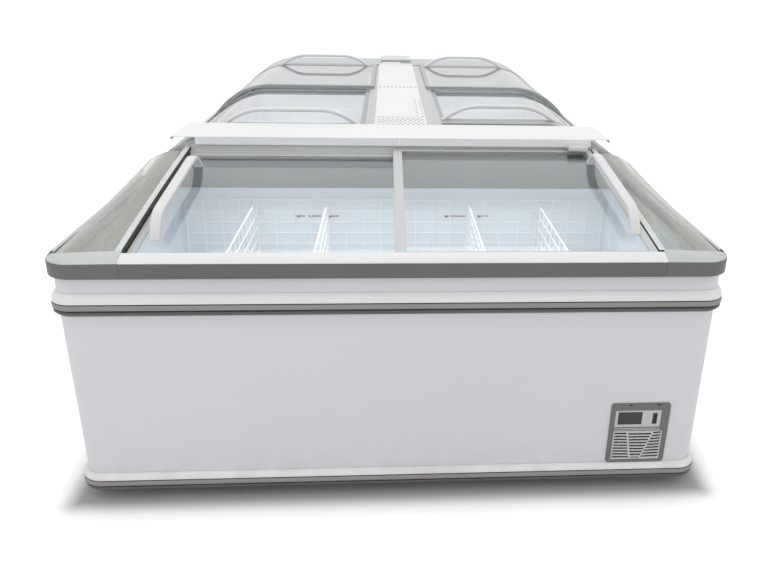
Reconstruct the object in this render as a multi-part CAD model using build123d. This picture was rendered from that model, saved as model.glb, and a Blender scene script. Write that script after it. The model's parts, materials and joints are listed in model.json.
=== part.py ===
from build123d import *
import os
from math import acos, atan2, cos, degrees, hypot, radians, sin, sqrt

os.makedirs("parts", exist_ok=True)

# An island of chest freezers: one end cabinet across the front, and two long cabinets back to back behind it.
# Millimetres. X runs across the front, Y runs away from the front edge, Z is up from the floor.
# Every size below is measured in that frame; the finished pieces move to the middle of the footprint at the end.

# Overall sizes
overall_width = 1850
end_depth = 850
long_length = 2500
crown_height = 905
gap_between_long = 120
top_offset = 7

# Running and seating clearances
seat = 0.3
fit_gap = 0.3
joint_gap = 0.5

# Casings
casing_inset = 17
casing_corner = 50
sheet = 2
casing_bottom = 36
foot_radius = 22
foot_pad_height = 12
foot_stem_radius = 7
foot_inset = 110

# Bumper mouldings round the casings
base_insert_bottom = 50
mid_insert_drop = 95
insert_height = 20
base_flare = 19
mid_flare = 28
bumper_skirt = 14
bumper_nose = 2
insert_groove = 1.5
insert_seat_depth = 8

# Top frame of the end cabinet
rail_height = 44
crown_rise = 155
rail_corner = 65
rail_depth = 62
rail_wall = 4
rail_chamber_height = 16
rail_low_chamber_height = 5
rail_step_wall = 8
moulding_run = 199
moulding_band = 48
side_rail_width = 40
side_rail_band = 20
moulding_inner_corner = 15
moulding_rise = 18
glass_ledge_drop = 6
moulding_leg = 110
strip_rise = 15
strip_depth = 38
strip_foot_depth = 14
strip_foot_drop = 2
strip_bulge = 3.5
strip_thickness = 2.2

# Curve of the end cabinet's lids, which rises to the rear
lid_front_y = 48
lid_front_drop = 2.5
lid_rear_inset = 15
lid_rear_drop = 57
lid_bulge = 4.5
lid_stack = 16
lid_thickness = 11
lid_side_gap = 3.7
lower_lid_front = 36
upper_lid_front = 23
lower_lid_rear_inset = 30
upper_lid_rear_inset = 16
left_lid_right_edge = 26
right_lid_left_edge = -5
end_stile = 22
centre_stile = 31
front_member = 26
rear_member = 24
glass_thickness = 5
glass_drop = 2

# Inclined side frames and side glasses
side_frame_inset = 185
side_frame_width = 18
side_frame_lift = 18.5
side_frame_height = 31.8
side_glass_rear_bulge = 19
side_seal_height = 8

# Rear header that carries the lids' rear edges
header_depth = 66
header_wall = 12
header_drop = 32
header_chamber_wall = 4
lock_inset = 231
lock_width = 66
lock_reach = 50
lock_sink = 1.5
lock_height = 13.5

# Crown of the long cabinets: flat above, then bent down to the outer rail
crown_bend_radius = 340
upper_lid_thickness = 13
long_lid_stack = 22
lid_lip_gap = 1.66824
long_rail_drop = 6
long_rail_width = 63
guide_rib_inset = 40.5
guide_rib_width = 4
guide_rib_height = 3
lip_width = 19
near_head_overhang = 15
far_head_length = 350
lid_meeting_shift = 37.5
lid_lap = 30
meeting_stile = 32
handle_stile = 105
right_near_lid_shift = 120
inner_stile = 22
outer_stile = 24
left_lid_inset = 32
right_lid_inset = 112
upper_ledge = 22
lower_ledge = 24
head_shell = 5
far_head_round = 18
rounded_edge_rise = 20
rounded_edge_length = 250

# White cover over the junction, and the perforated strip behind it
cover_end_inset = 138
cover_overlap = 22
cover_reach = 230
cover_drop = 2
cover_sheet = 2
cover_fold = 12
cover_lip_inset = 12
cover_lip_height = 28
cover_seam_x = 19
strip_left_gap = 15
strip_right_gap = 41
strip_drop = 5
strip_sheet = 2
perforation_pitch = 20
perforation_across = 6
perforation_rows = 8
strip_end_cap_height = 18
strip_end_cap_inset = 105

# Handles
handle_width = 31
handle_thickness = 12
handle_height = 58
handle_run = 72
handle_bend = 45
end_handle_front_inset = 84
end_handle_rear_inset = 130
left_end_handle_inset = 61.8
right_end_handle_inset = 33.3
left_long_handle_start = 65
left_long_handle_reach = 35
right_long_handle_start = 47
right_long_handle_reach = 43
long_handle_inset = 87

# Liners
liner_wall = 3
liner_side = 125
liner_front = 90
liner_rear_inset = 70
liner_floor = 160
liner_rise = 22
hump_inset = 425
basket_offset = 12
hump_top = 400
long_liner_inner_side = 100
long_liner_outer_side = 80
long_liner_end = 35
liner_corner = 25
coil_gap = 10
coil_tube = 4
coil_drop = 96
coil_pitch = 80
coil_loops = 3

# Wire grids and dividers
grid_wire = 4
grid_end_gap = 41
grid_drop = 16
rear_grid_gap = 15
front_grid_gap = 8
grid_bays = 12
grid_rows = 4
divider_pitch = 253.5
divider_count = 5
divider_bays = 5
divider_drop = 4
divider_lift = 20
long_divider_count = 4

# Control and ventilation panel, lower right of the front
bezel_inset = 115
bezel_width = 178
bezel_height = 206
bezel_bottom = 90
bezel_proud = 4
bezel_flange = 14
bezel_corner = 10
fascia_inset = 24
fascia_drop = 24
fascia_height = 59
display_inset = 9
display_width = 73
display_drop = 6
display_height = 43
switch_inset = 19
switch_width = 13
switch_height = 34
switch_pivot_depth = 6
switch_gap = 0.5
switch_cheek = 3
switch_pin = 2.5
switch_pin_gap = 0.1
louvre_lift = 9
louvre_drop = 12
slat_pitch = 10.5
slat_gap = 5.5
slat_count = 9

# Condensing units
room_width = 330
room_side = 35
room_front = 60
room_rear_inset = 50
room_top = 330
room_wall = 40
room_inset = 10
compressor_radius = 78
compressor_height = 190
condenser_width = 220
condenser_height = 190
condenser_depth = 44
fin_count = 9
fin_thickness = 4
fan_radius = 88
fan_hub_radius = 20
fan_blades = 5
fan_depth = 16
fan_bore_depth = 12
fan_gap = 8
fan_shaft_radius = 4
fan_shaft_clearance = 0.05
motor_radius = 34
motor_length = 46
end_compressor_inset = 280
long_condenser_inset = 270
long_compressor_inset = 225

# Sides and ends worked out from the sizes above
half_width = overall_width / 2
total_length = end_depth + long_length
casing_half = half_width - casing_inset
casing_front = casing_inset
casing_far = total_length - casing_inset
long_inner = gap_between_long / 2
cover_front = end_depth - cover_overlap
cover_rear = end_depth + cover_reach
near_head_end = cover_rear + near_head_overhang
far_head_start = total_length - far_head_length
lid_meeting_y = (near_head_end + far_head_start) / 2 + lid_meeting_shift
strip_end_cap_start = far_head_start + strip_end_cap_inset

# Levels of the top frame and the crown
rail_top = crown_height - crown_rise
rail_bottom = rail_top - rail_height
casing_top = rail_bottom - seat
mid_insert_bottom = rail_bottom - mid_insert_drop
long_rail_top = rail_top - long_rail_drop
bend_z = crown_height - crown_bend_radius
lower_radius = crown_bend_radius - long_lid_stack
header_top = crown_height - header_drop
cover_top = crown_height - cover_drop
strip_top = crown_height - strip_drop

# Top frame, header and lock
strip_half_length = half_width - moulding_run
side_frame_outer = half_width - side_frame_inset
side_frame_inner = side_frame_outer - side_frame_width
header_front = end_depth - header_depth
lock_right = half_width - lock_inset
lock_left = lock_right - lock_width
lock_front = cover_front - lock_reach
lock_bottom = header_top - lock_sink
lock_top = lock_bottom + lock_height

# Lids of the end cabinet and their handles
end_lid_half_span = side_frame_inner - lid_side_gap
lid_front_z = rail_top - lid_front_drop
lid_rear_y = end_depth - lid_rear_inset
lid_rear_z = crown_height - lid_rear_drop
lower_lid_rear = end_depth - lower_lid_rear_inset
upper_lid_rear = end_depth - upper_lid_rear_inset
end_handle_front = lower_lid_front + end_handle_front_inset
end_handle_rear = lower_lid_rear - end_handle_rear_inset
left_end_handle_x = left_end_handle_inset - end_lid_half_span
right_end_handle_x = end_lid_half_span - right_end_handle_inset

# Long rails, lids and their handles
long_rail_inner = half_width - long_rail_width
guide_rib_x = half_width - guide_rib_inset
lip_x = half_width - lip_width
lid_turn = acos((long_rail_top + seat - bend_z) / (crown_bend_radius - upper_lid_thickness))
crown_bend_x = lip_x - lid_lip_gap - crown_bend_radius * sin(lid_turn)
left_lid_inner = long_inner + left_lid_inset
right_lid_inner = long_inner + right_lid_inset
left_long_handle = (left_lid_inner + left_long_handle_start, crown_bend_x + left_long_handle_reach)
right_long_handle = (right_lid_inner + right_long_handle_start, crown_bend_x + right_long_handle_reach)

# Cover and strip
cover_half_length = half_width - cover_end_inset
cover_lip_half = side_frame_inner - cover_lip_inset
strip_left = strip_left_gap - left_lid_inner
strip_right = right_lid_inner - strip_right_gap

# Liners, grids and dividers
liner_half_width = half_width - liner_side
liner_rear = end_depth - liner_rear_inset
liner_top = rail_bottom + liner_rise
hump_left = half_width - hump_inset
long_liner_inner = long_inner + long_liner_inner_side
long_liner_outer = half_width - long_liner_outer_side
long_liner_near = near_head_end + long_liner_end
long_liner_far = far_head_start - long_liner_end
grid_half_length = liner_half_width - grid_end_gap
grid_bottom = hump_top
grid_top = rail_bottom - grid_drop
rear_grid_y = liner_rear - rear_grid_gap
front_grid_y = liner_front + front_grid_gap
divider_bottom = hump_top + divider_lift
divider_top = grid_top - divider_drop

# Control panel and machine room
bezel_right = half_width - bezel_inset
bezel_left = bezel_right - bezel_width
bezel_top = bezel_bottom + bezel_height
fascia_left = bezel_left + bezel_flange
fascia_right = bezel_right - fascia_inset
fascia_top = bezel_top - fascia_drop
fascia_bottom = fascia_top - fascia_height
display_left = fascia_left + display_inset
display_right = display_left + display_width
display_top = fascia_top - display_drop
display_bottom = display_top - display_height
switch_x = fascia_right - switch_inset
louvre_bottom = bezel_bottom + louvre_lift
louvre_top = fascia_bottom - louvre_drop
room_right = half_width - room_side
room_left = room_right - room_width
room_rear = end_depth - room_rear_inset
end_compressor_y = room_rear - end_compressor_inset
long_condenser_x = long_inner + long_condenser_inset
long_compressor_x = half_width - long_compressor_inset

# The circle that the end cabinet's lids follow in the YZ plane
lid_chord = hypot(lid_rear_y - lid_front_y, lid_rear_z - lid_front_z)
lid_tilt = atan2(lid_rear_z - lid_front_z, lid_rear_y - lid_front_y)
lid_radius = (lid_chord**2 / 4 + lid_bulge**2) / (2 * lid_bulge)
lid_centre_y = (lid_front_y + lid_rear_y) / 2 + sin(lid_tilt) * (lid_radius - lid_bulge)
lid_centre_z = (lid_front_z + lid_rear_z) / 2 - cos(lid_tilt) * (lid_radius - lid_bulge)


def lid_height(y):
    """Height of the lower lid's top face at y."""
    return lid_centre_z + sqrt(lid_radius**2 - (y - lid_centre_y) ** 2)


def block(x, y, z):
    """A box from three (low, high) pairs."""
    size = Box(x[1] - x[0], y[1] - y[0], z[1] - z[0])
    return Pos((x[0] + x[1]) / 2, (y[0] + y[1]) / 2, (z[0] + z[1]) / 2) * size


def along_x(edges, x_low, x_high):
    """Extrudes a closed YZ outline from x_low to x_high."""
    plane = Plane(origin=(x_low, 0, 0), x_dir=(0, 1, 0), z_dir=(1, 0, 0))
    return extrude(plane * make_face(edges), amount=x_high - x_low, dir=(1, 0, 0))


def along_y(edges, y_low, y_high):
    """Extrudes a closed XZ outline from y_low to y_high."""
    plane = Plane(origin=(0, y_low, 0), x_dir=(1, 0, 0), z_dir=(0, -1, 0))
    return extrude(plane * make_face(edges), amount=y_high - y_low, dir=(0, 1, 0))


def outline(*points):
    """A closed outline of straight edges."""
    return Polyline(*points, close=True).edges()


def mirrored(solid):
    """The same piece on the left-hand side."""
    return mirror(solid, about=Plane.YZ)


def group(*solids):
    """Separate solids kept together in one node."""
    flat = [s for item in solids for s in item.solids()]
    return Compound(children=flat)


def save(name, shape):
    """Writes one node, moved so that the origin is under the middle of the footprint."""
    solids = (Pos(0, -total_length / 2, 0) * shape).solids()
    node = solids[0] if len(solids) == 1 else Compound(children=list(solids))
    export_step(node, f"parts/{name}.step")


# Casings and insulation

def end_prism(inset, z_low, z_high):
    """The end cabinet's plan, set in from the casing's face, with its two front corners rounded."""
    x = casing_half - inset
    y_front = casing_front + inset
    y_rear = end_depth - inset
    plan = Rectangle(2 * x, y_rear - y_front)
    front_corners = plan.vertices().sort_by(Axis.Y)[:2]
    plan = fillet(front_corners, casing_corner - inset)
    plan = Pos(0, (y_front + y_rear) / 2, z_low) * plan
    return extrude(plan, amount=z_high - z_low)


def long_prism(inset, z_low, z_high):
    """The right-hand long cabinet's plan, set in from the casing's face, with its far outer corner rounded."""
    x_low = long_inner + inset
    x_high = casing_half - inset
    y_low = end_depth + inset
    y_high = casing_far - inset
    plan = Rectangle(x_high - x_low, y_high - y_low)
    corner = plan.vertices().sort_by(Axis.Y)[-2:].sort_by(Axis.X)[-1]
    plan = fillet(corner, casing_corner - inset)
    plan = Pos((x_low + x_high) / 2, (y_low + y_high) / 2, z_low) * plan
    return extrude(plan, amount=z_high - z_low)


def panel_opening():
    """The hole in the end casing behind the control panel."""
    x = (bezel_left + bezel_flange, bezel_right - bezel_flange)
    z = (bezel_bottom + bezel_flange, bezel_top - bezel_flange)
    return block(x, (casing_front - 5, room_front), z)


def make_end_casing():
    outer = end_prism(0, casing_bottom, casing_top)
    inner = end_prism(sheet, casing_bottom + sheet, casing_top + 1)
    return outer - inner - panel_opening()


def end_room():
    """The machine room low on the right of the end cabinet."""
    z_low = casing_bottom + sheet + seat
    return block((room_left, room_right), (casing_front + sheet, room_rear), (z_low, room_top))


def end_liner_body(grow, z_high):
    """The end liner's outside, grown by a margin: a tank with a step over the machine room."""
    wall = liner_wall + grow
    plan = Rectangle(2 * (liner_half_width + wall), liner_rear - liner_front + 2 * wall)
    plan = fillet(plan.vertices(), liner_corner + wall)
    z_low = liner_floor - wall
    tank = extrude(Pos(basket_offset, (liner_front + liner_rear) / 2, z_low) * plan, amount=z_high - z_low)
    x = (hump_left + wall, basket_offset + liner_half_width + wall + 1)
    y = (liner_front - wall - 1, liner_rear + wall + 1)
    return tank - block(x, y, (z_low - 1, hump_top - wall))


def make_end_insulation():
    foam_inset = sheet + fit_gap
    foam = end_prism(foam_inset, casing_bottom + sheet + seat, casing_top - liner_wall)
    return foam - end_liner_body(coil_gap, casing_top + 1) - end_room()


def make_end_liner():
    outer = end_liner_body(0, liner_top)
    flange = end_prism(sheet + fit_gap, casing_top - liner_wall + seat, casing_top)
    inner = end_liner_body(-liner_wall, liner_top + 1)
    return outer + flange - inner


def long_liner_body(margin, z_high):
    """The right-hand long liner's box, grown by a margin."""
    x = (long_liner_inner - margin, long_liner_outer + margin)
    y = (long_liner_near - margin, long_liner_far + margin)
    return block(x, y, (liner_floor - margin, z_high))


def make_long_casing():
    outer = long_prism(0, casing_bottom, casing_top)
    inner = long_prism(sheet, casing_bottom + sheet, casing_top + 1)
    return outer - inner


def long_room():
    """The machine room at the near end of the right-hand long cabinet."""
    x = (long_inner + room_wall, casing_half - room_wall)
    y = (end_depth + sheet + fit_gap, near_head_end - room_inset)
    return block(x, y, (casing_bottom + sheet + seat, casing_top + 1))


def make_long_liner():
    """Liner and its foam, moulded as one wall that fills the casing."""
    foam = long_prism(sheet + fit_gap, casing_bottom + sheet + seat, casing_top)
    rise = long_liner_body(liner_wall, liner_top)
    return foam + rise - long_liner_body(0, liner_top + 1) - long_room()


# Bumper mouldings

def bumper_edges(insert_bottom, flare_height):
    """The moulding's section: outward distance from the casing, then height."""
    out = casing_inset - bumper_nose
    insert_top = insert_bottom + insert_height
    groove_low = insert_bottom - insert_groove
    groove_high = insert_top + insert_groove
    seat_out = out - insert_seat_depth
    flare_top = insert_top + flare_height
    flare = SagittaArc((out, groove_high + 2), (fit_gap, flare_top), -4)
    rest = Polyline(
        (fit_gap, flare_top),
        (fit_gap, insert_bottom - bumper_skirt),
        (out - 6, insert_bottom - bumper_skirt),
        (out, groove_low - 6),
        (out, groove_low),
        (seat_out, groove_low),
        (seat_out, groove_high),
        (out, groove_high),
        (out, groove_high + 2),
    )
    return flare.edges() + rest.edges()


def insert_edges(insert_bottom):
    """The grey strip's section, with a convex nose."""
    seat_out = casing_inset - bumper_nose - insert_seat_depth + seat
    insert_top = insert_bottom + insert_height
    shoulder = casing_inset - bumper_nose
    nose = SagittaArc((shoulder, insert_bottom), (shoulder, insert_top), -bumper_nose)
    rest = Polyline(
        (shoulder, insert_top),
        (seat_out, insert_top),
        (seat_out, insert_bottom),
        (shoulder, insert_bottom),
    )
    return nose.edges() + rest.edges()


def round_end(edges):
    """Sweeps a section round the right side, the front and the left side of the end cabinet."""
    path = FilletPolyline(
        (casing_half, end_depth),
        (casing_half, casing_front),
        (-casing_half, casing_front),
        (-casing_half, end_depth),
        radius=casing_corner,
    )
    start = Plane(origin=(casing_half, end_depth, 0), x_dir=(1, 0, 0), z_dir=(0, -1, 0))
    return sweep(start * make_face(edges), path=path)


def round_long(edges):
    """Sweeps a section along the far end and the outer side of the right-hand long cabinet."""
    path = FilletPolyline(
        (long_inner, casing_far),
        (casing_half, casing_far),
        (casing_half, end_depth + joint_gap),
        radius=casing_corner,
    )
    start = Plane(origin=(long_inner, casing_far, 0), x_dir=(0, 1, 0), z_dir=(1, 0, 0))
    return sweep(start * make_face(edges), path=path)


def make_bumpers():
    levels = {base_insert_bottom: base_flare, mid_insert_bottom: mid_flare}
    save("end_base_bumper", round_end(bumper_edges(base_insert_bottom, base_flare)))
    save("end_mid_bumper", round_end(bumper_edges(mid_insert_bottom, mid_flare)))
    long_ones = [round_long(bumper_edges(level, flare)) for level, flare in levels.items()]
    save("long_bumpers", group(*long_ones, *[mirrored(b) for b in long_ones]))
    inserts = [round_end(insert_edges(level)) for level in levels]
    long_inserts = [round_long(insert_edges(level)) for level in levels]
    save("bumper_inserts", group(*inserts, *long_inserts, *[mirrored(b) for b in long_inserts]))


# Top frame of the end cabinet

def make_front_rail():
    """Extrusion with a step for each lid's front edge."""
    lower_seat = lid_height(lower_lid_front) - lid_thickness - seat
    upper_seat = lid_height(upper_lid_front) + lid_stack - lid_thickness - seat
    section = outline(
        (0, rail_bottom),
        (0, rail_top - strip_foot_drop),
        (strip_foot_depth, rail_top - strip_foot_drop),
        (upper_lid_front - 4, upper_seat),
        (lower_lid_front - 2, upper_seat),
        (lower_lid_front - 2, lower_seat),
        (rail_depth, lower_seat),
        (rail_depth, rail_bottom),
    )
    floor = rail_bottom + rail_wall
    x_step = lower_lid_front - rail_step_wall
    chamber = outline(
        (rail_wall, floor),
        (rail_wall, floor + rail_chamber_height),
        (x_step, floor + rail_chamber_height),
        (x_step, floor + rail_low_chamber_height),
        (rail_depth - rail_wall, floor + rail_low_chamber_height),
        (rail_depth - rail_wall, floor),
    )
    half = strip_half_length - joint_gap
    x = (top_offset - half, top_offset + half)
    return along_x(section, *x) - along_x(chamber, x[0] - 1, x[1] + 1)


def bulged(p, q, bulge):
    """An arc from p to q that swells to the left of that direction."""
    run = hypot(q[0] - p[0], q[1] - p[1])
    across = (-(q[1] - p[1]) / run, (q[0] - p[0]) / run)
    middle = ((p[0] + q[0]) / 2 + bulge * across[0], (p[1] + q[1]) / 2 + bulge * across[1])
    return ThreePointArc(p, middle, q)


def make_front_strip():
    """White profile, rounded like a handrail, whose rear lip covers the lids' front edges."""
    front_top = (0, rail_top)
    lip_top = (strip_depth, rail_top + strip_rise)
    lip_under = (strip_depth, rail_top + strip_rise - strip_thickness)
    under_front = (strip_foot_depth, rail_top + strip_foot_depth * strip_rise / strip_depth)
    base_z = rail_top - strip_foot_drop + seat
    edges = [
        bulged(front_top, lip_top, strip_bulge),
        Line(lip_top, lip_under),
        bulged(lip_under, under_front, -strip_bulge / 2),
        Line(under_front, (strip_foot_depth, base_z)),
        Line((strip_foot_depth, base_z), (0, base_z)),
        Line((0, base_z), front_top),
    ]
    half = strip_half_length - joint_gap
    return along_x(edges, top_offset - half, top_offset + half)


def roof_levels():
    """Inset and height of the mouldings' rounded top: the strip's curve, carried on a little further."""
    return (
        (0, rail_top),
        (strip_depth / 2 - 2, rail_top + moulding_rise * 0.6),
        (moulding_band, rail_top + moulding_rise),
    )


def moulding_face(inner_x, inset, z):
    """Plan of the right-hand moulding at a height, set in from its outer faces."""
    corner = rail_corner - inset
    x_arc = half_width - rail_corner
    x_out = half_width - inset
    edges = [
        Line((inner_x, inset), (x_arc, inset)),
        CenterArc((x_arc, rail_corner), corner, -90, 90),
        Line((x_out, rail_corner), (x_out, moulding_leg)),
        Line((x_out, moulding_leg), (inner_x, moulding_leg)),
        Line((inner_x, moulding_leg), (inner_x, inset)),
    ]
    return Pos(0, 0, z) * make_face(edges)


def make_corner_moulding(inner_x):
    """Right-hand corner of the top frame: a broad band in front, a narrow one at the side."""
    levels = roof_levels()
    body = extrude(moulding_face(inner_x, 0, rail_bottom), amount=rail_top - rail_bottom)
    for low, high in zip(levels, levels[1:]):
        body += loft([moulding_face(inner_x, *low), moulding_face(inner_x, *high)], ruled=True)
    x_band = half_width - side_rail_band
    window_width = x_band - inner_x + moulding_band
    window = Rectangle(window_width, moulding_leg)
    window = fillet(window.vertices().sort_by(Axis.Y)[:2].sort_by(Axis.X)[-1], moulding_inner_corner)
    x_window = x_band - window_width / 2
    y_window = moulding_band + moulding_leg / 2
    tall = moulding_rise + rail_top - rail_bottom + 2
    return body - extrude(Pos(x_window, y_window, rail_bottom - 1) * window, amount=tall)


def side_rail_section(ledge_inner, ledge_z, lip_inner, lip_levels):
    """Rail section: a ledge inside and a raised outer lip."""
    top = [(half_width - inset, z) for inset, z in lip_levels]
    return outline(
        (ledge_inner, rail_bottom),
        (half_width, rail_bottom),
        *top,
        (lip_inner, ledge_z),
        (ledge_inner, ledge_z),
    )


def make_side_rails():
    (_, z_outer), (inset_mid, z_mid), (inset_top, z_top) = roof_levels()
    lip_slope = (z_top - z_mid) / (inset_top - inset_mid)
    z_lip = z_mid + (side_rail_band - inset_mid) * lip_slope
    high_lip = [(0, z_outer), (inset_mid, z_mid), (side_rail_band, z_lip)]
    low_lip = [(0, rail_top - 5), (2, rail_top - 1.5), (5, rail_top), (half_width - lip_x, rail_top)]
    end_section = side_rail_section(
        half_width - side_rail_width, rail_top - glass_ledge_drop, half_width - side_rail_band, high_lip
    )
    end_rail = along_y(end_section, moulding_leg + joint_gap, end_depth)
    long_section = side_rail_section(long_rail_inner, long_rail_top, lip_x, low_lip)
    long_rail = along_y(long_section, end_depth + joint_gap, far_head_start)
    rib_x = (guide_rib_x, guide_rib_x + guide_rib_width)
    rib_z = (long_rail_top, long_rail_top + guide_rib_height)
    rib = block(rib_x, (near_head_end, far_head_start), rib_z)
    long_rail = long_rail + rib
    far_rail = far_end_rail()
    rails = [end_rail, long_rail, far_rail]
    return group(*rails, *[mirrored(r) for r in rails])


def far_end_rail():
    """Rail round the far end of the right-hand long cabinet, with the same outer corner."""
    y_far = total_length
    y_in = casing_far + seat
    x_out = half_width
    y_near = far_head_start + joint_gap
    edges = [
        Line((long_inner, y_far), (x_out - rail_corner, y_far)),
        CenterArc((x_out - rail_corner, y_far - rail_corner), rail_corner, 90, -90),
        Line((x_out, y_far - rail_corner), (x_out, y_near)),
        Line((x_out, y_near), (long_rail_inner, y_near)),
        Line((long_rail_inner, y_near), (long_rail_inner, y_in)),
        Line((long_rail_inner, y_in), (long_inner, y_in)),
        Line((long_inner, y_in), (long_inner, y_far)),
    ]
    return extrude(Pos(0, 0, rail_bottom) * make_face(edges), amount=long_rail_top - rail_bottom)


def lid_band(y_low, y_high, low, high):
    """YZ outline between two heights above the lower lid's top face, following its curve."""
    y_mid = (y_low + y_high) / 2

    def at(y, lift):
        return (y, lid_height(y) + lift)

    top = ThreePointArc(at(y_low, high), at(y_mid, high), at(y_high, high))
    rear = Line(at(y_high, high), at(y_high, low))
    bottom = ThreePointArc(at(y_high, low), at(y_mid, low), at(y_low, low))
    front = Line(at(y_low, low), at(y_low, high))
    return [top, rear, bottom, front]


def make_side_frame(side):
    """Inclined bar beside the lids, between the corner moulding and the long cabinet's head."""
    y = (moulding_band + seat, end_depth + joint_gap - seat)
    edges = lid_band(*y, side_frame_lift - side_frame_height, side_frame_lift)
    return along_x(edges, *sorted((side * side_frame_inner, side * side_frame_outer)))


def make_side_seal(side, top):
    """Dark brush strip in the slot between a side frame and the lid's edge."""
    edges = lid_band(moulding_band + seat, header_front - seat, top - side_seal_height, top)
    return along_x(edges, *sorted((side * (side_frame_inner - seat), side * (end_lid_half_span + seat))))


def make_side_glass(side):
    """Fixed pane: flat along the front, bent down to the outer rail at the rear."""
    x_in = side * (side_frame_outer + seat)
    x_out = side * (half_width - side_rail_band - 1)
    z_out = rail_top - glass_ledge_drop + seat
    y_front = moulding_band + 1
    y_rear = end_depth - header_wall - 1
    front_z = lid_height(y_front) + side_frame_lift - glass_thickness - 1
    rear_z = lid_height(header_front) + side_frame_lift - glass_thickness
    bow = -side * side_glass_rear_bulge

    def section(y, z_in, z_low, sag):
        low_in, low_out = (x_in, z_in), (x_out, z_low)
        high_in, high_out = (x_in, z_in + glass_thickness), (x_out, z_low + glass_thickness)
        edges = [
            SagittaArc(low_in, low_out, sag),
            Line(low_out, high_out),
            SagittaArc(high_out, high_in, -sag),
            Line(high_in, low_in),
        ]
        plane = Plane(origin=(0, y, 0), x_dir=(1, 0, 0), z_dir=(0, -1, 0))
        return plane * make_face(edges)

    front = section(y_front, front_z, z_out, bow / 20)
    rear = section(y_rear, rear_z, z_out, bow)
    pane = loft([front, rear], ruled=True)
    plan = Rectangle(2 * abs(x_out), 2 * (y_rear - y_front))
    corners = plan.vertices().sort_by(Axis.Y)[:2]
    plan = Pos(0, y_rear, z_out - 1) * fillet(corners, moulding_inner_corner)
    return pane & extrude(plan, amount=2 * header_top - 2 * z_out)


def make_header():
    """Upper rear wall with a ledge for each lid's rear edge and a wall behind them."""
    lower_seat = lid_height(header_front) - lid_thickness - seat
    upper_seat = lid_height(lower_lid_rear + 2) + lid_stack - lid_thickness - seat
    wall_front = end_depth - header_wall
    section = outline(
        (header_front, liner_top + seat),
        (header_front, lower_seat),
        (lower_lid_rear + 2, lid_height(lower_lid_rear + 2) - lid_thickness - seat),
        (lower_lid_rear + 2, upper_seat),
        (wall_front, lid_height(wall_front) + lid_stack - lid_thickness - seat),
        (wall_front, header_top),
        (end_depth, header_top),
        (end_depth, liner_top + seat),
    )
    wall = header_chamber_wall
    chamber = outline(
        (header_front + wall, liner_top + seat + wall),
        (header_front + wall, lower_seat - wall),
        (end_depth - wall, lower_seat - wall),
        (end_depth - wall, liner_top + seat + wall),
    )
    foot = outline(
        (end_depth - header_wall - 20, rail_bottom),
        (end_depth - header_wall - 20, liner_top + seat),
        (end_depth, liner_top + seat),
        (end_depth, rail_bottom),
    )
    x = (seat - side_frame_inner, side_frame_inner - seat)
    body = along_x(section, *x) - along_x(chamber, x[0] - 1, x[1] + 1)
    return body + along_x(foot, *x)


def make_lid_lock():
    """Small lock body on the header, above the right-hand lid."""
    x = (lock_left, lock_right)
    body = block(x, (lock_front, cover_front - 1), (lock_bottom, lock_top))
    tongue = block(x, (cover_front - 1, end_depth - header_wall - seat), (lock_bottom, lock_bottom + 3))
    body = chamfer(body.edges().filter_by(Axis.X).group_by(Axis.Z)[-1], 3)
    return body + tongue


# Sliding lids of the end cabinet

def make_end_lid(x, y, lift, left_stile, right_stile):
    """Frame and pane of one lid that slides along X."""
    frame = along_x(lid_band(y[0], y[1], lift - lid_thickness, lift), *x)
    window_y = (y[0] + front_member, y[1] - rear_member)
    window_x = (x[0] + left_stile, x[1] - right_stile)
    window = along_x(lid_band(*window_y, lift - lid_thickness - 2, lift + 2), *window_x)
    pane_y = (window_y[0] + fit_gap, window_y[1] - fit_gap)
    pane_x = (window_x[0] + fit_gap, window_x[1] - fit_gap)
    pane_top = lift - glass_drop
    pane = along_x(lid_band(*pane_y, pane_top - glass_thickness, pane_top), *pane_x)
    return frame - window, pane


def bow_handle(span):
    """Handle in its own frame: feet at both ends of the span on X, standing up along Z."""
    half = span / 2
    rise = handle_height - handle_thickness / 2
    slope = rise / handle_run
    sink = 20
    path = FilletPolyline(
        (-half - sink / slope, 0, -sink),
        (-half + handle_run, 0, rise),
        (half - handle_run, 0, rise),
        (half + sink / slope, 0, -sink),
        radius=handle_bend,
    )
    start = Plane(origin=path @ 0, x_dir=(0, 1, 0), z_dir=path % 0)
    section = fillet(Rectangle(handle_width, handle_thickness).vertices(), 4)
    bar = sweep(start * section, path=path)
    below = block((-span, span), (-handle_width, handle_width), (-3 * sink, 0))
    return bar - below


def make_end_handle(x, lift, frame):
    """Handle that runs from front to rear near the lid's outer edge, relieved where it crosses the frame."""
    foot_lift = lift - glass_drop + seat
    front = (end_handle_front, lid_height(end_handle_front) + foot_lift)
    rear = (end_handle_rear, lid_height(end_handle_rear) + foot_lift)
    span = hypot(rear[0] - front[0], rear[1] - front[1])
    slope = degrees(atan2(rear[1] - front[1], rear[0] - front[0]))
    middle = Pos(x, (front[0] + rear[0]) / 2, (front[1] + rear[1]) / 2)
    return middle * Rot(slope, 0, 0) * Rot(0, 0, 90) * bow_handle(span) - frame


def make_end_lids():
    lower_y = (lower_lid_front, lower_lid_rear)
    upper_y = (upper_lid_front, upper_lid_rear)
    left_x = (-end_lid_half_span, left_lid_right_edge)
    right_x = (right_lid_left_edge, end_lid_half_span)
    frame, pane = make_end_lid(left_x, lower_y, 0, end_stile, end_stile)
    save("left_lid_frame", frame)
    save("left_lid_glass", pane)
    save("left_lid_handle", make_end_handle(left_end_handle_x, 0, frame))
    frame, pane = make_end_lid(right_x, upper_y, lid_stack, centre_stile, end_stile)
    save("right_lid_frame", frame)
    save("right_lid_glass", pane)
    save("right_lid_handle", make_end_handle(right_end_handle_x, lid_stack, frame))


# Long cabinets: crown, rails, ends and lids

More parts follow.
